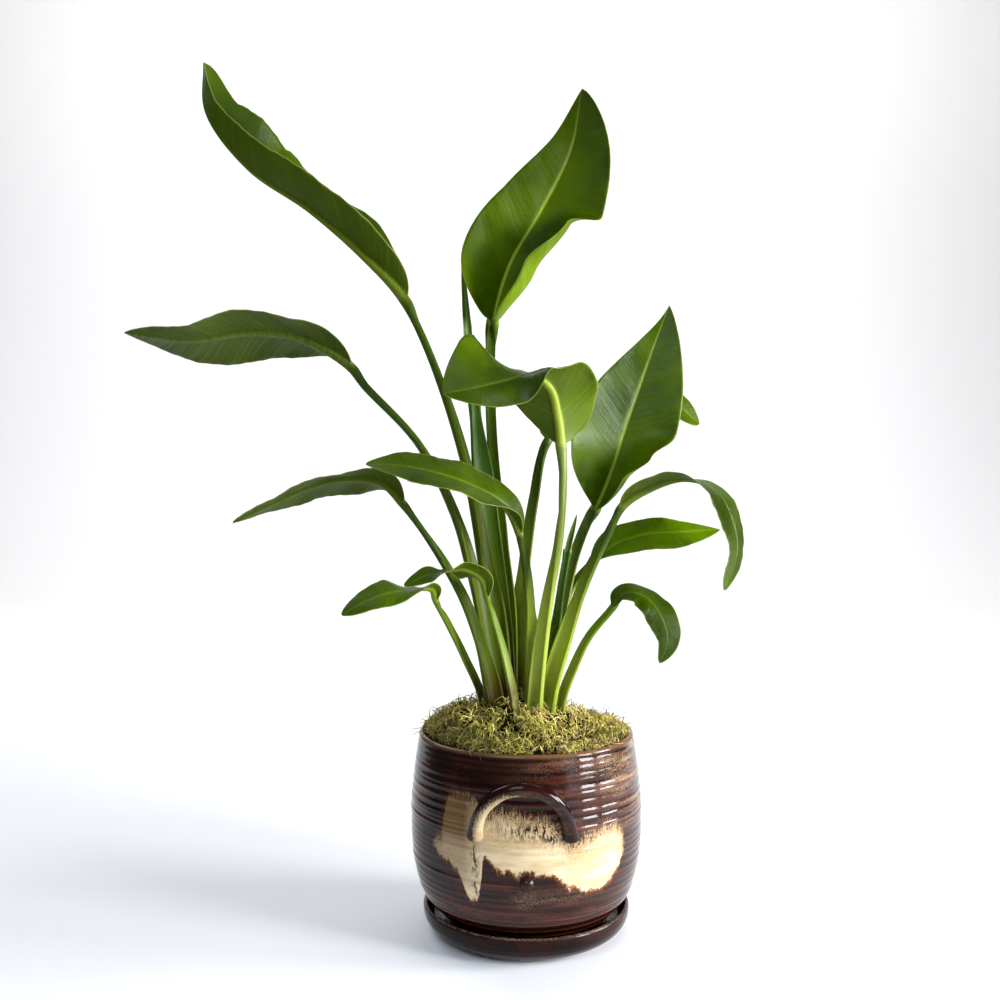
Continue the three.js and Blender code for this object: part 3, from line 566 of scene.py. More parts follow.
def round_ball(middle, radii, rows=28, columns=40):
    """A ball: half a circle turned about the axis, stretched to three radii."""
    down = np.linspace(0, np.pi, rows)
    places, faces = turned(np.stack([np.sin(down), np.cos(down)], 1), columns)
    return places * radii + middle, faces


def small_glaze(count, **given):
    """The glaze's fields on a small piece: what is given, and 0 for the others."""
    names = ("ring", "lip", "run", "tan", "mist", "shade", "pour_low", "pour_top")
    return {name: np.broadcast_to(given.get(name, 0.0), count) for name in names}


for side, direction in (("front", 0.0), ("back", math.pi)):
    # cream pools on the coil's inner left side, with specks further up, and iron elsewhere
    places, faces, inner, share = coil_arch()
    coil = piece_from(f"handle_{side}", turned_about_z(places, direction + HANDLE_TURN), faces)
    cream_top = 16 * (inner + 0.25) - 52 * np.clip(0.82 - share, 0, 1)
    carry(coil, **small_glaze(len(places), pour_top=cream_top, pour_low=14, shade=0.5, tan=0.2,
                              mist=np.clip(0.15 + 0.3 * inner, 0, 1)))
    dress(coil, planter_finish, "pot")
    reach = float(wall_radius(KNOB_HEIGHT)) + 0.5
    places, faces = round_ball((0, -reach, KNOB_HEIGHT),
                               (KNOB_RADIUS, KNOB_RADIUS * 0.95, KNOB_RADIUS))
    knob = piece_from(f"knob_{side}", turned_about_z(places, direction + KNOB_TURN), faces)
    carry(knob, **small_glaze(len(places), pour_top=-20, pour_low=8, mist=0.12, shade=0.3))
    dress(knob, planter_finish, "pot")


# ---- potting mix --------------------------------------------------------------------------
# Dark, moist bark and peat, level inside the wall; only crumbs of it show between the moss
# and the stalks.
def potting_mix():
    """Nearly black brown with paler bark crumbs."""
    mix = Finish("potting_mix")
    crumbs = mix.grain((1, 1, 1), 260, 4, 0.7)
    colour = mix.mix(mix.step(crumbs, 0.45, 0.7), "#0f0a07", "#4a3424")
    return mix.finish(colour, 0.95, mix.bumps(crumbs, 0.003))


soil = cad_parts["soil"]
soil.data.materials.clear()
soil.data.materials.append(potting_mix())


# ---- moss ---------------------------------------------------------------------------------
# A mound of dried sheet moss tucked over the potting mix and heaped round the stalks, lower
# on the right: a felt of cushions painted nearly black as the shade between the strands, and
# on it thousands of loose kinked strands, with painted shade where they lie low.
MOSS_RADIUS, MOSS_FLOOR, MOSS_EDGE, MOSS_CREST, MOSS_RELIEF = 89.3, 163.35, 176, 23, 2.2
MOSS_LEAN = 9                         # how much lower the mound is on its right
CUSHIONS, CUSHION_RADIUS, CUSHION_HEIGHT = 60, 10.0, 7.0
GOLDEN_TURN = 2.39996                 # angle from one cushion to the next
# name, dark and light colour, count, pull to the right (or left, below 0), pull to the edge
STRAND_KINDS = [("green", "#84801c", "#c8c044", 2700, -0.1, 0.4),
                ("olive", "#484a0c", "#868020", 2000, -0.5, 0.8),
                ("yellow", "#bea636", "#f4de78", 2500, 0.4, 0),
                ("straw", "#b8924a", "#ecd29a", 1200, 0.2, 1),
                ("brown", "#38220e", "#8a6030", 1500, 0, 3)]
STRAND_JOINTS = 6
STRAND_THIN, STRAND_THICK, STRAND_TAPER = 0.5, 1.0, 0.7
STRAND_SHORT, STRAND_LONG = 5, 34
STRAND_BEND, STRAND_KINK = 0.5, 0.4   # radians at each joint: at most, and typically
LOOSE_SHARE = 0.4                     # share of the strands that may hang over the rim


def cushion_field(x, y):
    """The nearest cushion's number at each place and the height of its paraboloid there. The
    cushions' middles follow a sunflower's spiral, shifted at random."""
    chance = np.random.default_rng(12)
    number = np.arange(CUSHIONS)
    out, turn = MOSS_RADIUS * np.sqrt((number + 0.5) / CUSHIONS), number * GOLDEN_TURN
    middles = np.stack([out * np.cos(turn), out * np.sin(turn)], 1)
    middles = middles + chance.normal(0, 3.5, middles.shape)
    tall = CUSHION_HEIGHT * chance.uniform(0.3, 1.3, CUSHIONS)
    gone = np.hypot(x[..., None] - middles[:, 0], y[..., None] - middles[:, 1])
    heights = tall - CUSHION_HEIGHT * (gone / CUSHION_RADIUS) ** 2
    return np.argmax(heights, -1), np.max(heights, -1).clip(-1.8)


def moss_height(x, y):
    """Height of the felt: a flat-topped dome over the rim's level that leans to the right,
    plus three products of sines and the cushions, fading out at the wall."""
    out = np.clip(np.hypot(x, y) / MOSS_RADIUS, 0, 1)
    tuft = MOSS_RELIEF * (np.sin(x * 0.16 + 1.3) * np.cos(y * 0.19 - 0.4)
                          + 0.6 * np.sin(x * 0.31 - y * 0.27) + 0.4 * np.cos(x * 0.11 + y * 0.43))
    lean = ramp(x, 5, 50)
    tuft = tuft - MOSS_LEAN * lean ** 2 * (3 - 2 * lean) + cushion_field(x, y)[1] - 2.5
    return (MOSS_EDGE + MOSS_CREST * (1 - out ** 2.4) ** 0.8
            + tuft * np.clip((1 - out) * MOSS_RADIUS / 12, 0, 1))


def moss_felt_painted_shade():
    """Nearly black as painted shade in the gaps between the strands, mottled dark olive and brown."""
    felt = Finish("moss_felt_painted_shade")
    where = felt.place()
    lumps = felt.grain(where, 420, 5, 0.75)
    colour = felt.coats("#080602", (felt.step(lumps, 0.38, 0.66), "#2a2609"),
                        (felt.step(felt.grain(where, 45, 3), 0.5, 0.7), "#2c1b0b"))
    return felt.finish(colour, 0.95, felt.bumps(lumps, 0.004), Specular_IOR_Level=0.1)


def strand_colour(kind, dark, light):
    """A strand's colour, differing from strand to strand, with painted shade down in the felt and
    in the hollows between cushions, and paler to its tip."""
    strand = Finish(f"moss_{kind}")
    tint = strand.coats(dark, (strand.field("strand"), light),
                        (strand.times(strand.field("tip"), 0.4), "#d8cf8c"),
                        (strand.field("deep"), "#0d0a02"))
    return strand.finish(tint, 0.85, Specular_IOR_Level=0.15)


def moss_dome(rings=90, around=240):
    """The felt's upper skin over a polar grid, its side down to the soil and its flat bottom."""
    share = np.linspace(1 / rings, 1, rings)[:, None]
    angle = round_steps(around)
    x, y = MOSS_RADIUS * share * np.cos(angle), MOSS_RADIUS * share * np.sin(angle)
    rough = np.random.default_rng(3).normal(0, 0.35, x.shape) * (share < 0.97)
    top = np.stack([x, y, moss_height(x, y) + rough], -1)
    bottom = top[-1:] * (1, 1, 0) + (0, 0, MOSS_FLOOR)
    crown = moss_height(np.zeros(1), np.zeros(1))[0]
    return capped(np.vstack([top, bottom]), (0, 0, crown), (0, 0, MOSS_FLOOR))


def kinked_strands(count, seed, rightward, edgeward):
    """Three-sided tapering tubes. Each starts on a cushion, combed mostly the cushion's own
    way, and walks in short steps; every step its direction bends steadily about an axis of
    its own and kinks at random, and is pulled back when it would climb too high or leave the
    pot. Returns places, faces, strand share, tip share and painted shade from how deep it lies
    in the felt and in the hollows between cushions."""
    chance = np.random.default_rng(seed)
    spots = chance.uniform(-1, 1, (40 * count, 2)) * MOSS_RADIUS
    out = np.hypot(*spots.T) / MOSS_RADIUS
    which, bulge = cushion_field(*spots.T)
    liked = 0.3 + chance.uniform(0, 1, CUSHIONS)[which] ** 2
    odds = np.exp(rightward * spots[:, 0] / 40) * (0.25 + edgeward * out ** 5) * (out < 1) * liked
    chosen = chance.choice(len(spots), count, p=odds / odds.sum())
    spots, which, bulge = spots[chosen], which[chosen], bulge[chosen]
    place = np.column_stack([spots, moss_height(*spots.T) - 1.5])
    combed = np.random.default_rng(5).normal(0, 0.8, (CUSHIONS, 3))[which]
    heading = combed + chance.normal(0, 0.5, (count, 3))
    heading[:, 2] = np.abs(heading[:, 2]) * 0.6 + 0.25
    heading = unit(heading)
    axis = unit(chance.normal(0, 1, (count, 3)))
    bend = chance.uniform(0.0, STRAND_BEND, count)[:, None]
    length = chance.gamma(3.6, 3.5, count).clip(STRAND_SHORT, STRAND_LONG)[:, None]
    loose = chance.uniform(0, 1, count) < LOOSE_SHARE
    middle, headings = [place], [heading]
    for _ in range(STRAND_JOINTS):
        heading = heading * np.cos(bend) + np.cross(axis, heading) * np.sin(bend)
        heading = heading + chance.normal(0, STRAND_KINK, (count, 3))
        above = place[:, 2] - moss_height(place[:, 0], place[:, 1])
        heading[:, 2] -= 0.12 * np.clip(above - 4, 0, 9)
        outer = np.hypot(place[:, 0], place[:, 1]) - MOSS_RADIUS + 3
        held = np.where(loose & (place[:, 2] > POT_RIM_TOP), 0.02, 0.14)
        heading[:, :2] -= (held * np.clip(outer, 0, 8))[:, None] * place[:, :2] / MOSS_RADIUS
        heading[:, 2] += 0.2 * (outer > 0) * (place[:, 2] < POT_RIM_TOP + 1)
        heading = unit(heading)
        place = place + heading * length / STRAND_JOINTS
        middle.append(place)
        headings.append(heading)
    middle, headings = np.stack(middle, 1), np.stack(headings, 1)
    side = unit(np.cross(headings, np.array([0.3, 0.5, 0.81])))
    share = np.linspace(0, 1, STRAND_JOINTS + 1)[:, None]
    thick = chance.uniform(STRAND_THIN, STRAND_THICK, count)[:, None, None, None]
    thick = thick * (1 - STRAND_TAPER * share[..., None])
    places = middle[:, :, None, :] + thick * round_section(side, np.cross(headings, side), 3)
    size = (STRAND_JOINTS + 1) * 3
    caps = np.array([[0, 1, 2], [size - 1, size - 2, size - 3]])
    one_after_another = np.arange(count)[:, None, None] * size
    faces = [(block[None] + one_after_another).reshape(-1, block.shape[1])
             for block in (grid_faces(STRAND_JOINTS + 1, 3, False, True)[:, ::-1], caps)]
    tone = np.random.default_rng(6).uniform(0, 1, CUSHIONS)[which]
    own = (0.5 * tone + chance.uniform(0, 0.5, count))[:, None, None]
    # painted shade: a strand darkens where it lies below the felt's surface, and near its root in the
    # hollows between cushions
    sunk_shade = (moss_height(middle[..., 0], middle[..., 1]) + 1.6 - middle[..., 2]) / 3.2
    hollow_shade = ((1.0 - bulge) / 4.8)[:, None] * (1 - share[:, 0])
    deep = np.clip(sunk_shade + hollow_shade, 0, 0.9)[..., None]
    fields = dict(strand=own, tip=share ** 2, deep=deep)
    return places.reshape(-1, 3), faces, {name: np.broadcast_to(values, places.shape[:3])
                                          for name, values in fields.items()}


felt = piece_from("moss_felt_painted_shade", *moss_dome())
dress(felt, moss_felt_painted_shade(), "moss")

for seed, (kind, dark, light, count, rightward, edgeward) in enumerate(STRAND_KINDS, start=21):
    places, faces, fields = kinked_strands(count, seed, rightward, edgeward)
    strands = piece_from(f"moss_strands_{kind}", places, faces)
    carry(strands, **fields)
    dress(strands, strand_colour(kind, dark, light), "moss")


# ---- leaves -------------------------------------------------------------------------------
# Living leaves, each with a channelled sheath at its root, a stiff stalk and a leathery
# blade: a thick pale midrib, close side veins that run out to the margin, a thin pale margin.
# Two are young leaves still rolled into spears. They grow out of the mix, side by side.

# path: points along the midline in millimetres from the root, and the way that the upper face
# looks there, where it differs from the point before; foot_at: the point where the blade
# starts; left and right: a half of the blade, its half width, the power that shifts its widest
# place, and its bluntness; stalk: (share, half width, thickness, wrap); fold: (share, tilt and
# curl of the left half, and of the right half where they differ); wave: (height, number, phase)
# along the margins; the others are leaf_skin's.
LEAVES = {}
LEAVES["frond_upper_left"] = dict(
    foot_at=6, left=(41, 0.85, 0.65), right=(49, 1.1, 0.6), wave=(0.8, 2.5, 0), dry=0.995,
    rib_top=0.2, gloss=0.13, pleats=0.8,
    path=[(-20, 6, 150, 0.3, -1, 0), (-21, 6, 201), (-26, 6, 267, 0.4, -1, 0.1),
        (-36, 4, 330, 0.6, -0.6, 0.2), (-52, 0, 419, 0.8, -0.2, 0.4), (-84, -8, 517, 0.85, 0, 0.5),
        (-108, -12, 564, 0.8, 0, 0.6), (-142, -16, 600, 0.7, 0, 0.7), (-190, -20, 640, 0.6, 0, 0.75),
        (-243, -24, 675, 0.65, 0, 0.7), (-279, -26, 723, 0.8, 0, 0.5),
        (-280, -28, 765, 0.9, -0.1, 0.3)],
    stalk=[(0, 9, 7, 1.4), (0.3, 9, 7, 1.2), (0.5, 6, 7.5, 0.6), (1, 4.6, 6, 0.3)],
    fold=[(0, 0.9, 0.3), (0.2, 0.5, 0.35, 0.95, 0.3), (0.42, 0.35, 0.4, 0.36, 0.4),
        (0.6, 0.35, 0.45, 0.72, 0.4), (0.75, 0.4, 0.5, 1.05, 0.35), (0.9, 0.4, 0.5, 1, 0.3),
        (1, 0.3, 0.3, 0.9, 0.2)])
LEAVES["frond_mid_left"] = dict(
    foot_at=7, left=(35, 0.78, 0.8), right=(41, 1, 0.65), wave=(1.2, 2.5, 1), dry=0.985,
    rib_share=0.1, rib_top=0.15, tone=0.8, painted_light_tip=0.85, gloss=0.2, pleats=4,
    path=[(-21, -9, 150, 0.5, -1, 0), (-24, -9, 204), (-33, -10, 260, 0.5, -1, 0.1),
        (-47, -12, 323, 0.7, -0.6, 0.3), (-62, -14, 374, 0.8, -0.2, 0.5),
        (-94, -20, 437, 0.6, 0, 0.7), (-139, -28, 485, 0.5, 0.2, 0.8),
        (-154, -30, 503, 0.3, 0.3, 0.9), (-197, -32, 526, 0, 0.4, 0.9),
        (-240, -34, 530, 0, 0.45, 0.9), (-291, -36, 523, 0, 0.4, 0.9), (-347, -38, 530)],
    stalk=[(0, 8, 6, 1.4), (0.25, 9, 6, 1.1), (0.42, 6, 6.5, 0.6), (1, 4.4, 5.5, 0.3)],
    fold=[(0, 0.5, -0.2), (0.3, 0.15, -0.4), (0.7, 0.1, -0.2, 0.1, -0.3), (1, 0.2, 0)])
LEAVES["frond_upper_right"] = dict(
    foot_at=6, left=(47, 0.54, 0.95), right=(62, 0.56, 0.62), wave=(1.5, 2, 0), rib_top=0.9,
    tone=1.8, painted_light_tip=0.5, painted_light_below=1.15, gloss=0.08,
    path=[(-17, 36, 150, 0.3, -1, 0), (-17, 36, 197), (-18, 36, 272, 0.2, -1, 0),
        (-22, 35, 347, 0.1, -1, 0), (-31, 30, 449), (-32, 24, 522, 0.1, -1, 0.1), (-30, 20, 549),
        (-14, 10, 600, 0.2, -1, 0.1), (14, 4, 646, 0.3, -1, 0), (40, 0, 698, 0.2, -1, -0.1),
        (50, 0, 753, 0, -1, -0.1)],
    stalk=[(0, 9, 7, 1.4), (0.3, 10, 7, 0.9), (0.5, 5.4, 7, 0.6), (0.65, 4.4, 6.5, 0.4),
        (1, 4.2, 6, 0.3)],
    fold=[(0, 0.8, 0.3, 0.8, 1.6), (0.24, 0.1, 0.2, 0.1, 2.6), (0.47, 0.1, 0, 0.1, 2.2),
        (0.59, 0.1, -0.1, 0.15, 0.35), (1, 0.1, 0)])
LEAVES["spear_tall"] = dict(
    kind="leaf_spear", foot_at=5, left=(3, 0.7, 0.8), right=(3, 0.7, 0.8), wave=(0, 3, 0),
    path=[(-18, 21, 150, 0.3, -1, 0), (-19, 21, 200), (-23, 21, 255), (-31, 21, 329), (-40, 20, 412),
        (-47, 18, 476), (-53, 15, 540), (-58, 12, 606)],
    stalk=[(0, 9, 6, 1.4), (0.4, 12, 6, 0.8), (0.75, 10, 6, 0.9), (1, 4, 6, 0.6)],
    fold=[(0, 0, 0.6), (1, 0, 0.2)])
LEAVES["frond_centre_folded"] = dict(
    foot_at=5, left=(39, 0.52, 0.66), right=(60, 1.3, 0.6), dry=0.995, rib_share=0.75, rib_top=0.5,
    tone=1.35, painted_light_tip=1.1, gloss=0.3,
    path=[(5, -21, 150, -0.3, -1, 0.1), (7, -22, 210), (16, -25, 288, -0.6, -0.8, 0.1),
        (26, -29, 350, -0.8, -0.2, 0.2), (30, -33, 403, -0.8, 0.4, 0.1),
        (29, -36, 434, -0.3, 1, 0.1), (26, -42, 458, -0.1, 1, 0.3), (19, -58, 480, 0, 0.9, 0.5),
        (1, -76, 491, 0, 0.1, 1), (-19, -88, 484, 0, -0.8, 0.6), (-44, -95, 477, 0, -0.9, 0.4),
        (-69, -100, 472)],
    stalk=[(0, 7, 7, 1.5), (0.35, 6, 6.5, 0.9), (0.6, 4.4, 6, 0.5), (1, 4, 5, 0.3)],
    fold=[(0, 0.4, 0.2), (0.42, 0.1, -0.3, 0.45, -0.1), (0.7, 0.1, -0.4, 0.1, -0.2), (1, 0.1, 0)])
LEAVES["frond_broad_right"] = dict(
    foot_at=5, left=(52, 0.62, 1.45), right=(46, 0.76, 0.8), wave=(1.5, 2, 0), rib_top=0.8, tone=1.3,
    painted_light_tip=1.35, painted_light_below=1.4, gloss=0.26,
    path=[(21, 21, 150, -0.2, -1, 0.1), (23, 20, 209), (33, 16, 282, -0.3, -1, 0.1), (44, 10, 334),
        (57, 6, 368, -0.2, -1, 0.1), (63, 5, 377, 0, -1, 0.1), (79, -1, 418, -0.1, -1, 0.1),
        (92, -3, 458, -0.2, -1, 0.1), (102, -4, 487), (115, -3, 524), (129, 3, 560, -0.1, -1, 0.1)],
    stalk=[(0, 8, 6, 1.5), (0.3, 7, 6, 1), (0.6, 4.6, 6, 0.5), (1, 4.2, 5, 0.3)],
    fold=[(0, 0.55, 0.3, 0.6, 1.3), (0.18, 0.5, 0.35, 0.1, 2.1), (0.3, 0.5, 0.3, 0.1, 1.3),
        (0.44, 0.45, 0.2, 0.1, 0.1), (0.78, 0.3, 0.1, 0.1, 0.05), (1, 0.1, 0)])
LEAVES["frond_back_right"] = dict(
    foot_at=5, left=(33, 0.62, 0.6), right=(36, 1, 0.65), wave=(2, 2.5, 0),
    path=[(-3, 50, 150, -0.2, -1, 0.1), (-3, 50, 198), (-5, 50, 270), (0, 50, 327),
        (8, 50, 384, -0.3, -1, 0.3), (22, 50, 441, -0.6, -0.6, 0.6), (53, 60, 455, -0.3, -0.6, 0.8),
        (103, 74, 476, 0, -0.6, 0.8), (145, 84, 479, 0.3, -0.7, 0.6),
        (173, 90, 458, 0.5, -0.7, 0.4)],
    stalk=[(0, 7, 6, 1.5), (0.35, 9, 6, 1.1), (0.6, 5, 6, 0.5), (1, 4, 5, 0.3)],
    fold=[(0, 0.5, 0.2), (0.4, 0.2, 0), (1, 0.1, 0)])
LEAVES["frond_drooping_right"] = dict(
    foot_at=5, left=(24, 1, 0.6), right=(30, 0.95, 0.6), rib_top=0.2, tone=0.95, painted_light_tip=0.75,
    pleats=2.2,
    path=[(15, -7, 150, -0.4, -1, 0.2), (20, -8, 211), (33, -11, 260),
        (53, -14, 318, -0.6, -0.7, 0.4), (70, -16, 354, -0.7, -0.3, 0.6),
        (84, -18, 380, -0.5, 0, 0.9), (107, -22, 395, -0.2, 0.05, 1), (138, -24, 404, 0.1, 0, 1),
        (164, -26, 396, 0.5, -0.3, 0.7), (177, -30, 375, 0.85, -0.45, 0.3),
        (183, -34, 342, 0.85, -0.5, 0), (171, -38, 307, 0.8, -0.6, -0.1)],
    stalk=[(0, 8, 7, 1.5), (0.35, 8, 6.5, 1), (0.65, 5, 6, 0.5), (1, 4, 5, 0.3)],
    fold=[(0, 0.6, 0.2), (0.2, 0.25, 0.1, 0.4, 0.1), (0.4, 0, -0.2, 0, -0.1),
        (0.7, 0.1, -0.1, 0, -0.1), (1, 0, 0)])
LEAVES["frond_level_right"] = dict(
    kind="leaf_young", foot_at=4, left=(18, 0.7, 0.95), right=(19, 1, 0.8), rib_top=0.15, tone=1.7,
    painted_light_tip=1.7, gloss=0.1,
    path=[(18, 34, 150, -0.3, -1, 0.2), (21, 34, 205), (33, 32, 272, -0.4, -0.9, 0.2),
        (44, 30, 306, -0.6, -0.7, 0.3), (62, 30, 326, -0.3, -0.8, 0.5), (86, 28, 344, 0, -0.85, 0.5),
        (115, 26, 353), (147, 24, 355, 0.1, -0.9, 0.4), (180, 24, 357, 0.1, -0.9, 0.3)],
    stalk=[(0, 6, 5, 1.3), (0.4, 5, 5, 0.8), (0.7, 3, 4.5, 0.4), (1, 3, 4, 0.3)],
    fold=[(0, 0.4, 0.2, 0.5, 0.2), (0.4, 0.1, -0.4, 0.1, 0.3), (1, 0.1, 0)])
LEAVES["frond_low_right"] = dict(
    kind="leaf_young", foot_at=4, left=(18, 0.85, 0.6), right=(16, 0.85, 0.6), wave=(0.6, 2.5, 0),
    dry=0.985, rib_top=0.2, tone=0.6, painted_light_tip=0.34, gloss=0.07, pleats=1.6,
    path=[(26, 0, 150, -0.5, -1, 0.3), (32, -2, 206), (42, -6, 235, -0.5, -1, 0.4),
        (55, -10, 263, -0.6, -0.7, 0.5), (77, -14, 291, -0.6, -0.5, 0.6),
        (84, -15, 301, -0.4, -0.4, 0.8), (99, -17, 303, 0, -0.35, 0.9),
        (111, -22, 295, 0.4, -0.6, 0.6), (120, -27, 281, 0.5, -0.85, 0.1),
        (124, -30, 262, 0.4, -0.95, -0.1), (116, -32, 243)],
    stalk=[(0, 4.5, 5, 0.9), (0.4, 4, 5, 0.6), (1, 3.2, 4.2, 0.3)],
    fold=[(0, 0.3, -0.2), (0.4, -0.05, -0.2, -0.1, -0.3), (1, 0, -0.1)])
LEAVES["frond_low_left"] = dict(
    foot_at=6, left=(23, 0.7, 0.7), right=(34, 0.7, 0.7), dry=0.955, rib_share=0.12, tone=0.75,
    painted_light_tip=0.7, gloss=0.1, pleats=1.8,
    path=[(-25, -23, 150, 0.5, -1, 0.1), (-28, -23, 205), (-37, -23, 249),
        (-52, -24, 294, 0.6, -0.8, 0.3), (-68, -24, 325, 0.7, -0.5, 0.5),
        (-90, -30, 361, 0.5, 0, 0.8), (-108, -34, 384, 0.3, 0.3, 0.8),
        (-125, -36, 400, 0.2, 0.4, 0.8), (-154, -40, 404, 0, 0.4, 0.9),
        (-185, -46, 397, -0.2, 0.3, 0.9), (-215, -52, 383, -0.3, 0.3, 0.9), (-249, -60, 367)],
    stalk=[(0, 8, 6, 1.5), (0.25, 8, 6, 1.1), (0.45, 4.6, 5.5, 0.5), (1, 3.6, 5, 0.3)],
    fold=[(0, 0.4, -0.2), (0.4, 0, -0.3, 0.1, -0.3), (1, 0.1, 0)])
LEAVES["frond_centre_left"] = dict(
    foot_at=5, left=(27, 1.15, 0.6), right=(24, 0.95, 0.6), rib_top=0.3, tone=0.85, painted_light_tip=0.85,
    pleats=1.4,
    path=[(5, 13, 150, 0.3, -1, 0.1), (5, 12, 205), (6, 8, 257), (4, -2, 295, 0.4, -0.9, 0.2),
        (0, -16, 332, 0.6, -0.7, 0.4), (-6, -28, 357, 0.7, -0.5, 0.5),
        (-20, -44, 382, 0.4, -0.6, 0.7), (-46, -58, 398, 0.1, -0.6, 0.8),
        (-74, -68, 408, 0, -0.6, 0.8), (-101, -74, 414), (-134, -80, 416, 0, -0.5, 0.8)],
    stalk=[(0, 6, 6, 1.5), (0.5, 6, 6, 1.1), (0.65, 4, 5.5, 0.5), (1, 3.6, 5, 0.3)],
    fold=[(0, 0.9, 0.3, 0.5, 0.2), (0.4, 0.3, -0.2, 0.2, -0.3), (1, 0.1, 0)])
LEAVES["frond_small_left"] = dict(
    kind="leaf_young", foot_at=4, left=(16, 1, 0.62), right=(18, 1, 0.62), wave=(1, 2, 0), dry=0.98,
    rib_top=0.2, tone=0.85, painted_light_tip=0.7, pleats=1.5,
    path=[(-38, 0, 150, 0.5, -1, 0.3), (-38, 0, 202), (-54, -12, 245, 0.6, -0.8, 0.4),
        (-69, -22, 278, 0.6, -0.6, 0.5), (-79, -28, 298, 0.5, 0.3, 0.6),
        (-83, -33, 308, 0.1, 0.5, 0.8), (-96, -40, 309, -0.3, -0.2, 0.9),
        (-119, -52, 306, -0.3, -0.65, 0.7), (-139, -58, 299, -0.3, -0.7, 0.7), (-157, -62, 289)],
    stalk=[(0, 4, 4.6, 0.7), (0.4, 3.4, 4.4, 0.4), (1, 2.8, 4, 0.3)],
    fold=[(0, 0.3, -0.2), (0.4, 0.1, -0.3, 0.1, -0.2), (1, 0, 0)])
LEAVES["frond_small_inner"] = dict(
    kind="leaf_young", foot_at=4, left=(13, 0.8, 0.6), right=(15, 0.8, 0.6), wave=(1, 2, 0),
    tone=0.6, painted_light_tip=0.6,
    path=[(-6, -38, 150, 0.5, -1, 0.3), (-10, -38, 208), (-19, -37, 252, 0.5, -0.8, 0.3),
        (-27, -34, 279, 0.5, -0.7, 0.3), (-34, -36, 302, 0.9, 0.1, 0.4),
        (-40, -40, 318, 0.6, 0.6, 0.6), (-54, -46, 326, 0.1, 0.6, 0.8), (-70, -50, 325, -0.1, 0, 1),
        (-87, -53, 321, -0.3, -0.7, 0.6), (-105, -56, 313)],
    stalk=[(0, 4.6, 4.6, 0.9), (0.4, 3.4, 4.4, 0.5), (1, 2.6, 4, 0.3)],
    fold=[(0, 0.5, 0.1, 0.4, 0.1), (0.4, 0.1, -0.1, 0.1, -0.2), (1, 0, 0)])
LEAVES["spear_small"] = dict(
    kind="leaf_spear", foot_at=4, left=(1.5, 0.7, 0.8), right=(1.5, 0.7, 0.8), wave=(0, 3, 0),
    path=[(13, 5, 150, -0.2, -1, 0.2), (16, 4, 210), (25, 2, 258), (31, -2, 304), (37, -8, 340),
        (45, -10, 372)],
    stalk=[(0, 5, 5, 1.4), (0.5, 4, 5, 1.2), (0.8, 2.6, 4.6, 0.6), (1, 2.4, 4.6, 0.6)],
    fold=[(0, 0, 0.6), (1, 0, 0.2)])
USUAL_LEAF = dict(kind="leaf", wave=(1.5, 2.5, 0))
# tone, and the scales at the tip and below, are painted light and shade: how much brighter or darker
# each blade is painted at its foot, at its tip and underneath, for how it lies in the light
USUAL_LOOK = dict(dry=2.0, rib_share=0.25, rib_top=0.45, tone=1.0, painted_light_tip=1.0, painted_light_below=1.0,
                  gloss=0.14, pleats=0.4)
LAMINA, LAMINA_MARGIN = 0.55, 1.0   # thickness of a blade's sides, and of a stalk's margins
LAMINA_TIP = 1.2                    # thickness of the rib at the blade's tip
PLEAT_PITCH, PLEAT_HEIGHT = 6.5, 0.12
SWELL_PITCH, SWELL_HEIGHT = 43, 0.7       # slow swells along the side veins
RIPPLE_PITCH, RIPPLE_HEIGHT = 29, 0.3     # ripples of the margins
GROOVE_DEPTH = 0.55                 # of the groove over the midrib
VEIN_SLANT, VEIN_BEND = 0.5, 0.004  # how the side veins lean to the tip, and bend on the way
THINNEST_HALF, THINNEST_LEAF = 0.3, 0.3
MIDDLE_CROWD, MIDRIB_CROWD = 0.10, 1.25   # how stations crowd at mid blade, columns at the rib
BLADE_COLOURS = {                   # upper face dark and light, lower face, rib, stalk, root
    "leaf": ("#2a3e00", "#4e6400", "#4d6000", "#8a982a", "#2c420a", "#a3b23a"),
    "leaf_young": ("#3a5200", "#5f7c00", "#6a8200", "#93a030", "#5c7410", "#8e993a"),
    "leaf_spear": ("#2c4a10", "#446424", "#5c7a20", "#84983c", "#3c5e14", "#56660e")}


def eased(t):
    """Smooth rise from 0 to 1."""
    return t * t * (3 - 2 * t)


def keyed(keys, at):
    """Columns of values between rows of (place, value, ...), eased from row to row."""
    keys = np.asarray(keys, float)
    j = np.clip(np.searchsorted(keys[:, 0], at[:, 0], side="right") - 1, 0, len(keys) - 2)
    t = ramp(at, keys[j, :1], keys[j + 1, :1])
    return (keys[j, 1:] + (keys[j + 1, 1:] - keys[j, 1:]) * eased(t)).T[..., None]


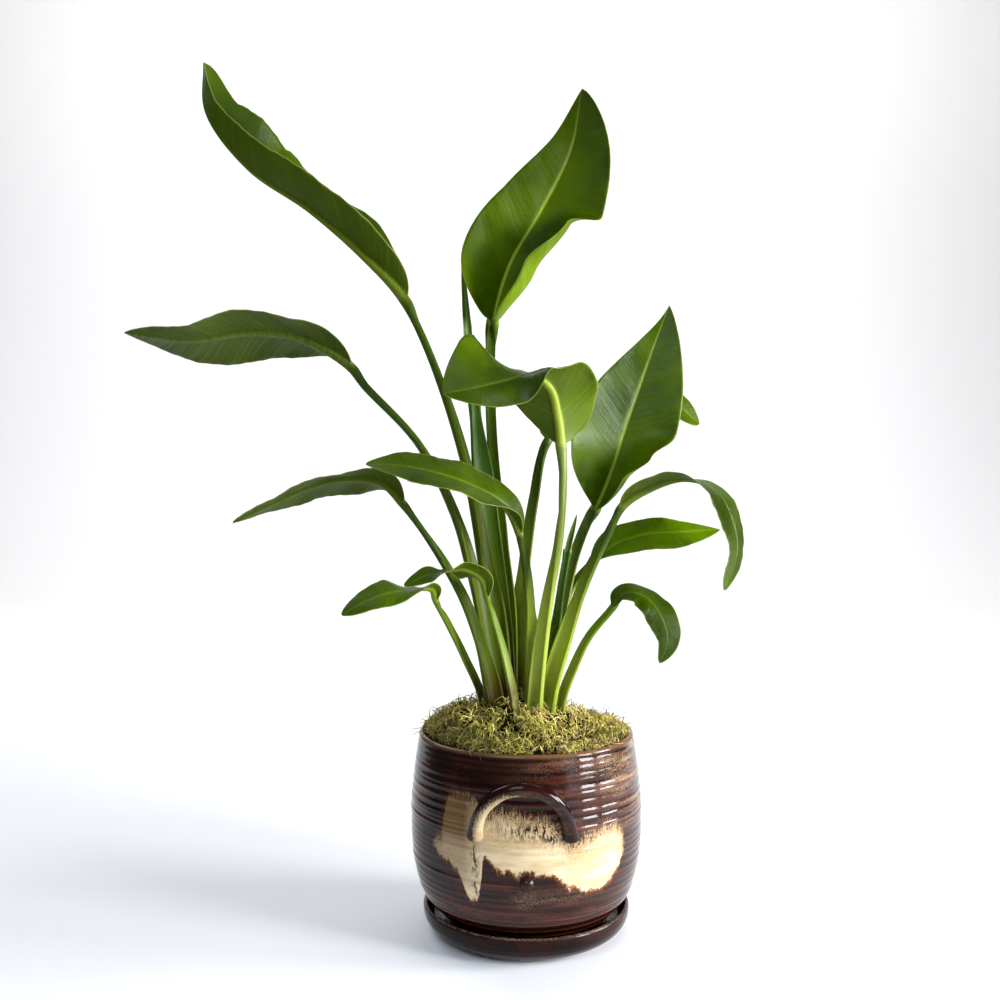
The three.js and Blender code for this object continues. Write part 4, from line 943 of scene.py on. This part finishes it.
def leaf_surface(spec, on_stalk=70, on_blade=170, across=20):
    """A closed leaf. Stations run along a smooth curve through the path; at each the section
    leaves the midline to both sides as an arc: for a half width w, a tilt a and a curl b, a
    point at share t lies w(sin(a+bt)-sin a)/b sideways and w(cos a-cos(a+bt))/b up. The
    blade's half width follows the sine of pi times a power of its share. Its margins wave and
    ripple, and fine pleats and slow swells, all of them sines, follow the side veins. The
    lower face lies below the upper one by the lamina plus the rib, an ellipse as wide as the
    stalk. Returns places, faces, fields."""
    face = []
    for point in spec["path"]:
        face.append(point[3:] or face[-1])
    face = unit(np.array(face, float))
    line = curve_through([point[:3] for point in spec["path"]])
    gone = way_gone(line)
    foot_gone = gone[spec["foot_at"] * CURVE_STEPS]
    blade_length = gone[-1] - foot_gone
    share = np.linspace(0, 1, on_blade + 1)
    share = share + MIDDLE_CROWD * np.sin(2 * np.pi * share) / (2 * np.pi)
    at = np.r_[np.linspace(0, foot_gone, on_stalk, endpoint=False), foot_gone + share * blade_length]
    index = np.interp(at, gone, np.arange(len(gone)))

    def on_line(values):
        """The line's values at each station."""
        return np.stack([np.interp(index, np.arange(len(gone)), one) for one in values.T], 1)

    ahead = unit(on_line(unit(np.gradient(line, axis=0))))
    cell = np.minimum(len(face) - 2, np.floor(index / CURVE_STEPS)).astype(int)
    blend = eased(index / CURVE_STEPS - cell)[:, None]
    up = face[cell] * (1 - blend) + face[cell + 1] * blend
    up = unit(up - ahead * np.sum(up * ahead, 1)[:, None])
    middle, up, right = (each[:, None] for each in (on_line(line), up, np.cross(ahead, up)))

    c, v = np.minimum(1, at / foot_gone)[:, None], ramp(at, foot_gone, gone[-1])[:, None]
    blade = v > 0
    stalk_half, stalk_deep, wrap = keyed(spec["stalk"], c)
    foot_half, foot_deep = spec["stalk"][-1][1:3]
    rib = np.maximum(np.where(blade, foot_half * np.sqrt(1 - v), stalk_half), 0.25)
    deep = np.where(blade, LAMINA_TIP + (foot_deep - LAMINA_TIP) * (1 - v) ** 1.6, stalk_deep)
    lamina = np.where(blade, LAMINA, LAMINA_MARGIN)
    fold = [(place, *(row * 2)[:4]) for place, *row in spec["fold"]]
    folds = keyed(fold, v) * np.where(blade, 1.0, eased(ramp(c, 0.94, 1)))
    height, number, phase = spec["wave"]
    t = (np.arange(across + 1) / across) ** MIDRIB_CROWD
    halves = []
    for hand, (half, where, blunt), (tilt, curl) in (
            (-1, spec["left"], folds[:2]), (1, spec["right"], folds[2:])):
        spread = np.where(blade, np.sin(np.pi * v ** where).clip(0) ** blunt, 0)
        w = np.maximum(np.hypot(rib, half * spread), THINNEST_HALF)
        b = np.where(blade, curl, curl + wrap)
        b = np.where(np.abs(b) < 1e-3, 1e-3, b)
        bow = tilt + b * t
        out, rise = w * (np.sin(bow) - np.sin(tilt)) / b, w * (np.cos(tilt) - np.cos(bow)) / b
        off = t * w
        vein = v * blade_length - VEIN_SLANT * off - VEIN_BEND * off ** 2

        def wave(pitch, start=0):
            """A sine along the side veins."""
            return np.sin(2 * np.pi * vein / pitch + start)

        flank = ramp(off, rib, rib + 8) * ramp(w - off, 0, 5)
        pleats = PLEAT_HEIGHT * (wave(PLEAT_PITCH) + wave(PLEAT_PITCH * 2.7, 1))
        swells = SWELL_HEIGHT * wave(SWELL_PITCH, phase + 2 * hand)
        ripples = RIPPLE_HEIGHT * (wave(RIPPLE_PITCH, 3 * phase) + 0.7 * wave(RIPPLE_PITCH / 2.3))
        waves = height * np.sin(2 * np.pi * number * v + phase + hand)
        groove = GROOVE_DEPTH * hill(off, 0, np.maximum(0.5 * rib, 0.4)) * spread
        rise = rise - groove + spread * (
            flank * (pleats + swells) + waves * t ** 2 + ripples * t ** 4)
        skin = middle + right * (hand * out)[..., None] + up * rise[..., None]
        turn = np.where(t > 0, bow, 0)
        normal = up * np.cos(turn)[..., None] - right * (hand * np.sin(turn))[..., None]
        bulk = np.sqrt(np.clip(1 - (off / rib) ** 2, 0, 1))
        thick = lamina + (deep - lamina) * bulk
        under = skin - normal * np.maximum(thick - groove, THINNEST_LEAF)[..., None]
        halves.append(dict(skin=skin, under=under, vein=vein, mid=off, edge=w - off, bulk=bulk))
    joined = {name: np.concatenate([halves[0][name][:, ::-1], halves[1][name][:, 1:]], 1)
              for name in halves[0]}
    skin, under = joined.pop("skin"), joined.pop("under")
    places = np.concatenate([skin, under[:, ::-1]], 1)
    rows, ring = places.shape[:2]
    column = np.arange(ring // 2 - 1)
    strip = np.stack([column, column + 1, ring - 2 - column, ring - 1 - column], 1)
    faces = [grid_faces(rows, ring, False, True), strip[:, ::-1], strip + (rows - 1) * ring]
    fields = {name: np.concatenate([values, values[:, ::-1]], 1) for name, values in joined.items()}
    fields["upper"] = np.broadcast_to(np.repeat([1.0, 0.0], ring // 2), (rows, ring))
    fields["along"] = np.broadcast_to(np.where(blade, v, c - 1), (rows, ring))
    return places.reshape(-1, 3), faces, fields


def leaf_skin(name, kind, dry, rib_share, rib_top, tone, painted_light_tip, painted_light_below, gloss, pleats):
    """Dark and satin above, paler and matt below. The pale rib is an ellipse's share of the
    width that narrows and fades to the tip, below it shows by rib_share; fine side veins are
    noise along the vein distance; margins are thin and pale. The blade's colour is scaled from
    the foot to the tip by painted light and shade, set leaf by leaf for how it lies in the light,
    and its underside is brightened again by painted light. Stalks are green and towards the
    root olive; on a grown leaf the root is painted yellow-green on the right as painted light
    from the window and dark olive on the left as painted shade. Just above the moss they are
    red-brown, with painted shade making it fuller on the left; past dry the tip is brown and
    crisp."""
    skin = Finish(name)
    dark, light, below, rib_colour, stalk_colour, root_colour = BLADE_COLOURS[kind]
    where, rightward = skin.place(), skin.axis(0)
    along, mid, edge, vein, upper, bulk = (skin.field(each) for each in (
        "along", "mid", "edge", "vein", "upper", "bulk"))
    across = skin.add("ShaderNodeCombineXYZ", (vein, skin.times(mid, 0.02), 0.0))
    lines = skin.grain(across, 0.75, 4, 0.65)
    face = skin.coats(
        dark, (skin.step(skin.grain(where, 13, 3), 0.36, 0.66), light),
        (skin.step(lines, 0.5, 0.7, 0, 0.3), light),
        (skin.step(lines, 0.6, 0.72, 0, 0.14), rib_colour), (skin.step(mid, 14, 0, 0, 0.25), light))
    under = skin.mix(skin.step(lines, 0.42, 0.66, 0, 0.28), below, "#7b8c34")
    upper_rib = skin.times(upper, skin.step(bulk, 0.86, 0.95, 0, rib_top))
    lower_rib = skin.times(skin.sum("SUBTRACT", 1.0, upper),
                           skin.times(skin.step(bulk, 0.2, 0.5), rib_share))
    ribbed = skin.times(skin.plus(upper_rib, lower_rib), skin.step(along, 0.95, 0.5, 0.3))
    # painted light and shade: the blade is scaled brighter or darker from foot to tip, and its
    # underside again, for how each leaf lies in the light
    blade = skin.scaled(skin.coats(skin.scaled(under, painted_light_below), (upper, face), (ribbed, rib_colour)),
                        skin.step(along, 0.1, 0.85, tone, painted_light_tip))
    blade = skin.mix(skin.step(edge, 0.9, 0.3, 0, 0.7), blade, "#9aa64e")
    streaks = skin.step(skin.grain((1, 1, 0.08), 700, 2), 0.3, 0.7)
    # painted light and shade: a grown leaf's stalk is painted yellow-green towards the root on the
    # right, lit by the window, and dark olive on the left, in shade
    painted_light_side = skin.step(rightward, -0.016, 0.006) if kind == "leaf" else 1.0
    # the stalks are red-brown just above the moss, and painted shade makes this fuller on the left
    red_brown_and_painted_shade = skin.times(
        skin.step(skin.axis(2), 0.252, 0.203, 0, skin.step(rightward, -0.014, 0.008, 1.0, 0.35)),
        skin.step(skin.grain(where, 60, 3), 0.3, 0.6, 0.5, 1.0))
    stem = skin.coats(
        stalk_colour, (skin.times(streaks, 0.4), light),
        (skin.step(along, -0.6, -0.1, 0, 0.6 * rib_share ** 2), "#a3b250"),
        (skin.step(along, -0.1, -0.65, 0, 0.9), skin.mix(painted_light_side, "#566408", root_colour)),
        (red_brown_and_painted_shade, "#3c2008"))
    at_blade = skin.step(along, -0.02, 0.01)
    crisp = skin.step(skin.plus(along, skin.times(skin.grain(where, 130, 3), 0.06)),
                      dry + 0.03, dry + 0.05)
    colour = skin.coats(stem, (at_blade, blade), (crisp, "#5b3c1c"))
    rough = skin.plus(skin.step(upper, 0, 1, 0.4, 0.33 - 0.4 * gloss),
                      skin.step(skin.grain(where, 40, 2), 0.3, 0.7, 0, 0.1))
    rough = skin.add("ShaderNodeMix", (at_blade, None, 0.36, rough))
    rough = skin.sum("MAXIMUM", rough, skin.step(crisp, 0, 1, 0, 0.8))
    height = skin.plus(lines, skin.times(skin.grain(where, 500, 2), 0.5))
    height = skin.plus(height, skin.times(skin.grain(across, 0.15, 2), pleats))
    skin.finish(colour, rough, skin.bumps(height, 0.0009, 0.6), Specular_IOR_Level=gloss)
    skin.lit_through(skin.mix(0.6, colour, "#8cae00"), skin.times(
        skin.step(along, 0.0, 0.03, 0, 0.26), skin.step(bulk, 0.5, 0.05)))
    return skin.material


skins = {}
for node, spec in LEAVES.items():
    spec = {**USUAL_LEAF, **USUAL_LOOK, **spec}
    places, faces, fields = leaf_surface(spec)
    leaf = piece_from(f"{node}_leaf", places, faces)
    carry(leaf, **fields)
    look = (spec["kind"], *(spec[key] for key in USUAL_LOOK))
    if look not in skins:
        skins[look] = leaf_skin(f"{spec['kind']}_skin_{len(skins)}", *look)
    dress(leaf, skins[look], node)
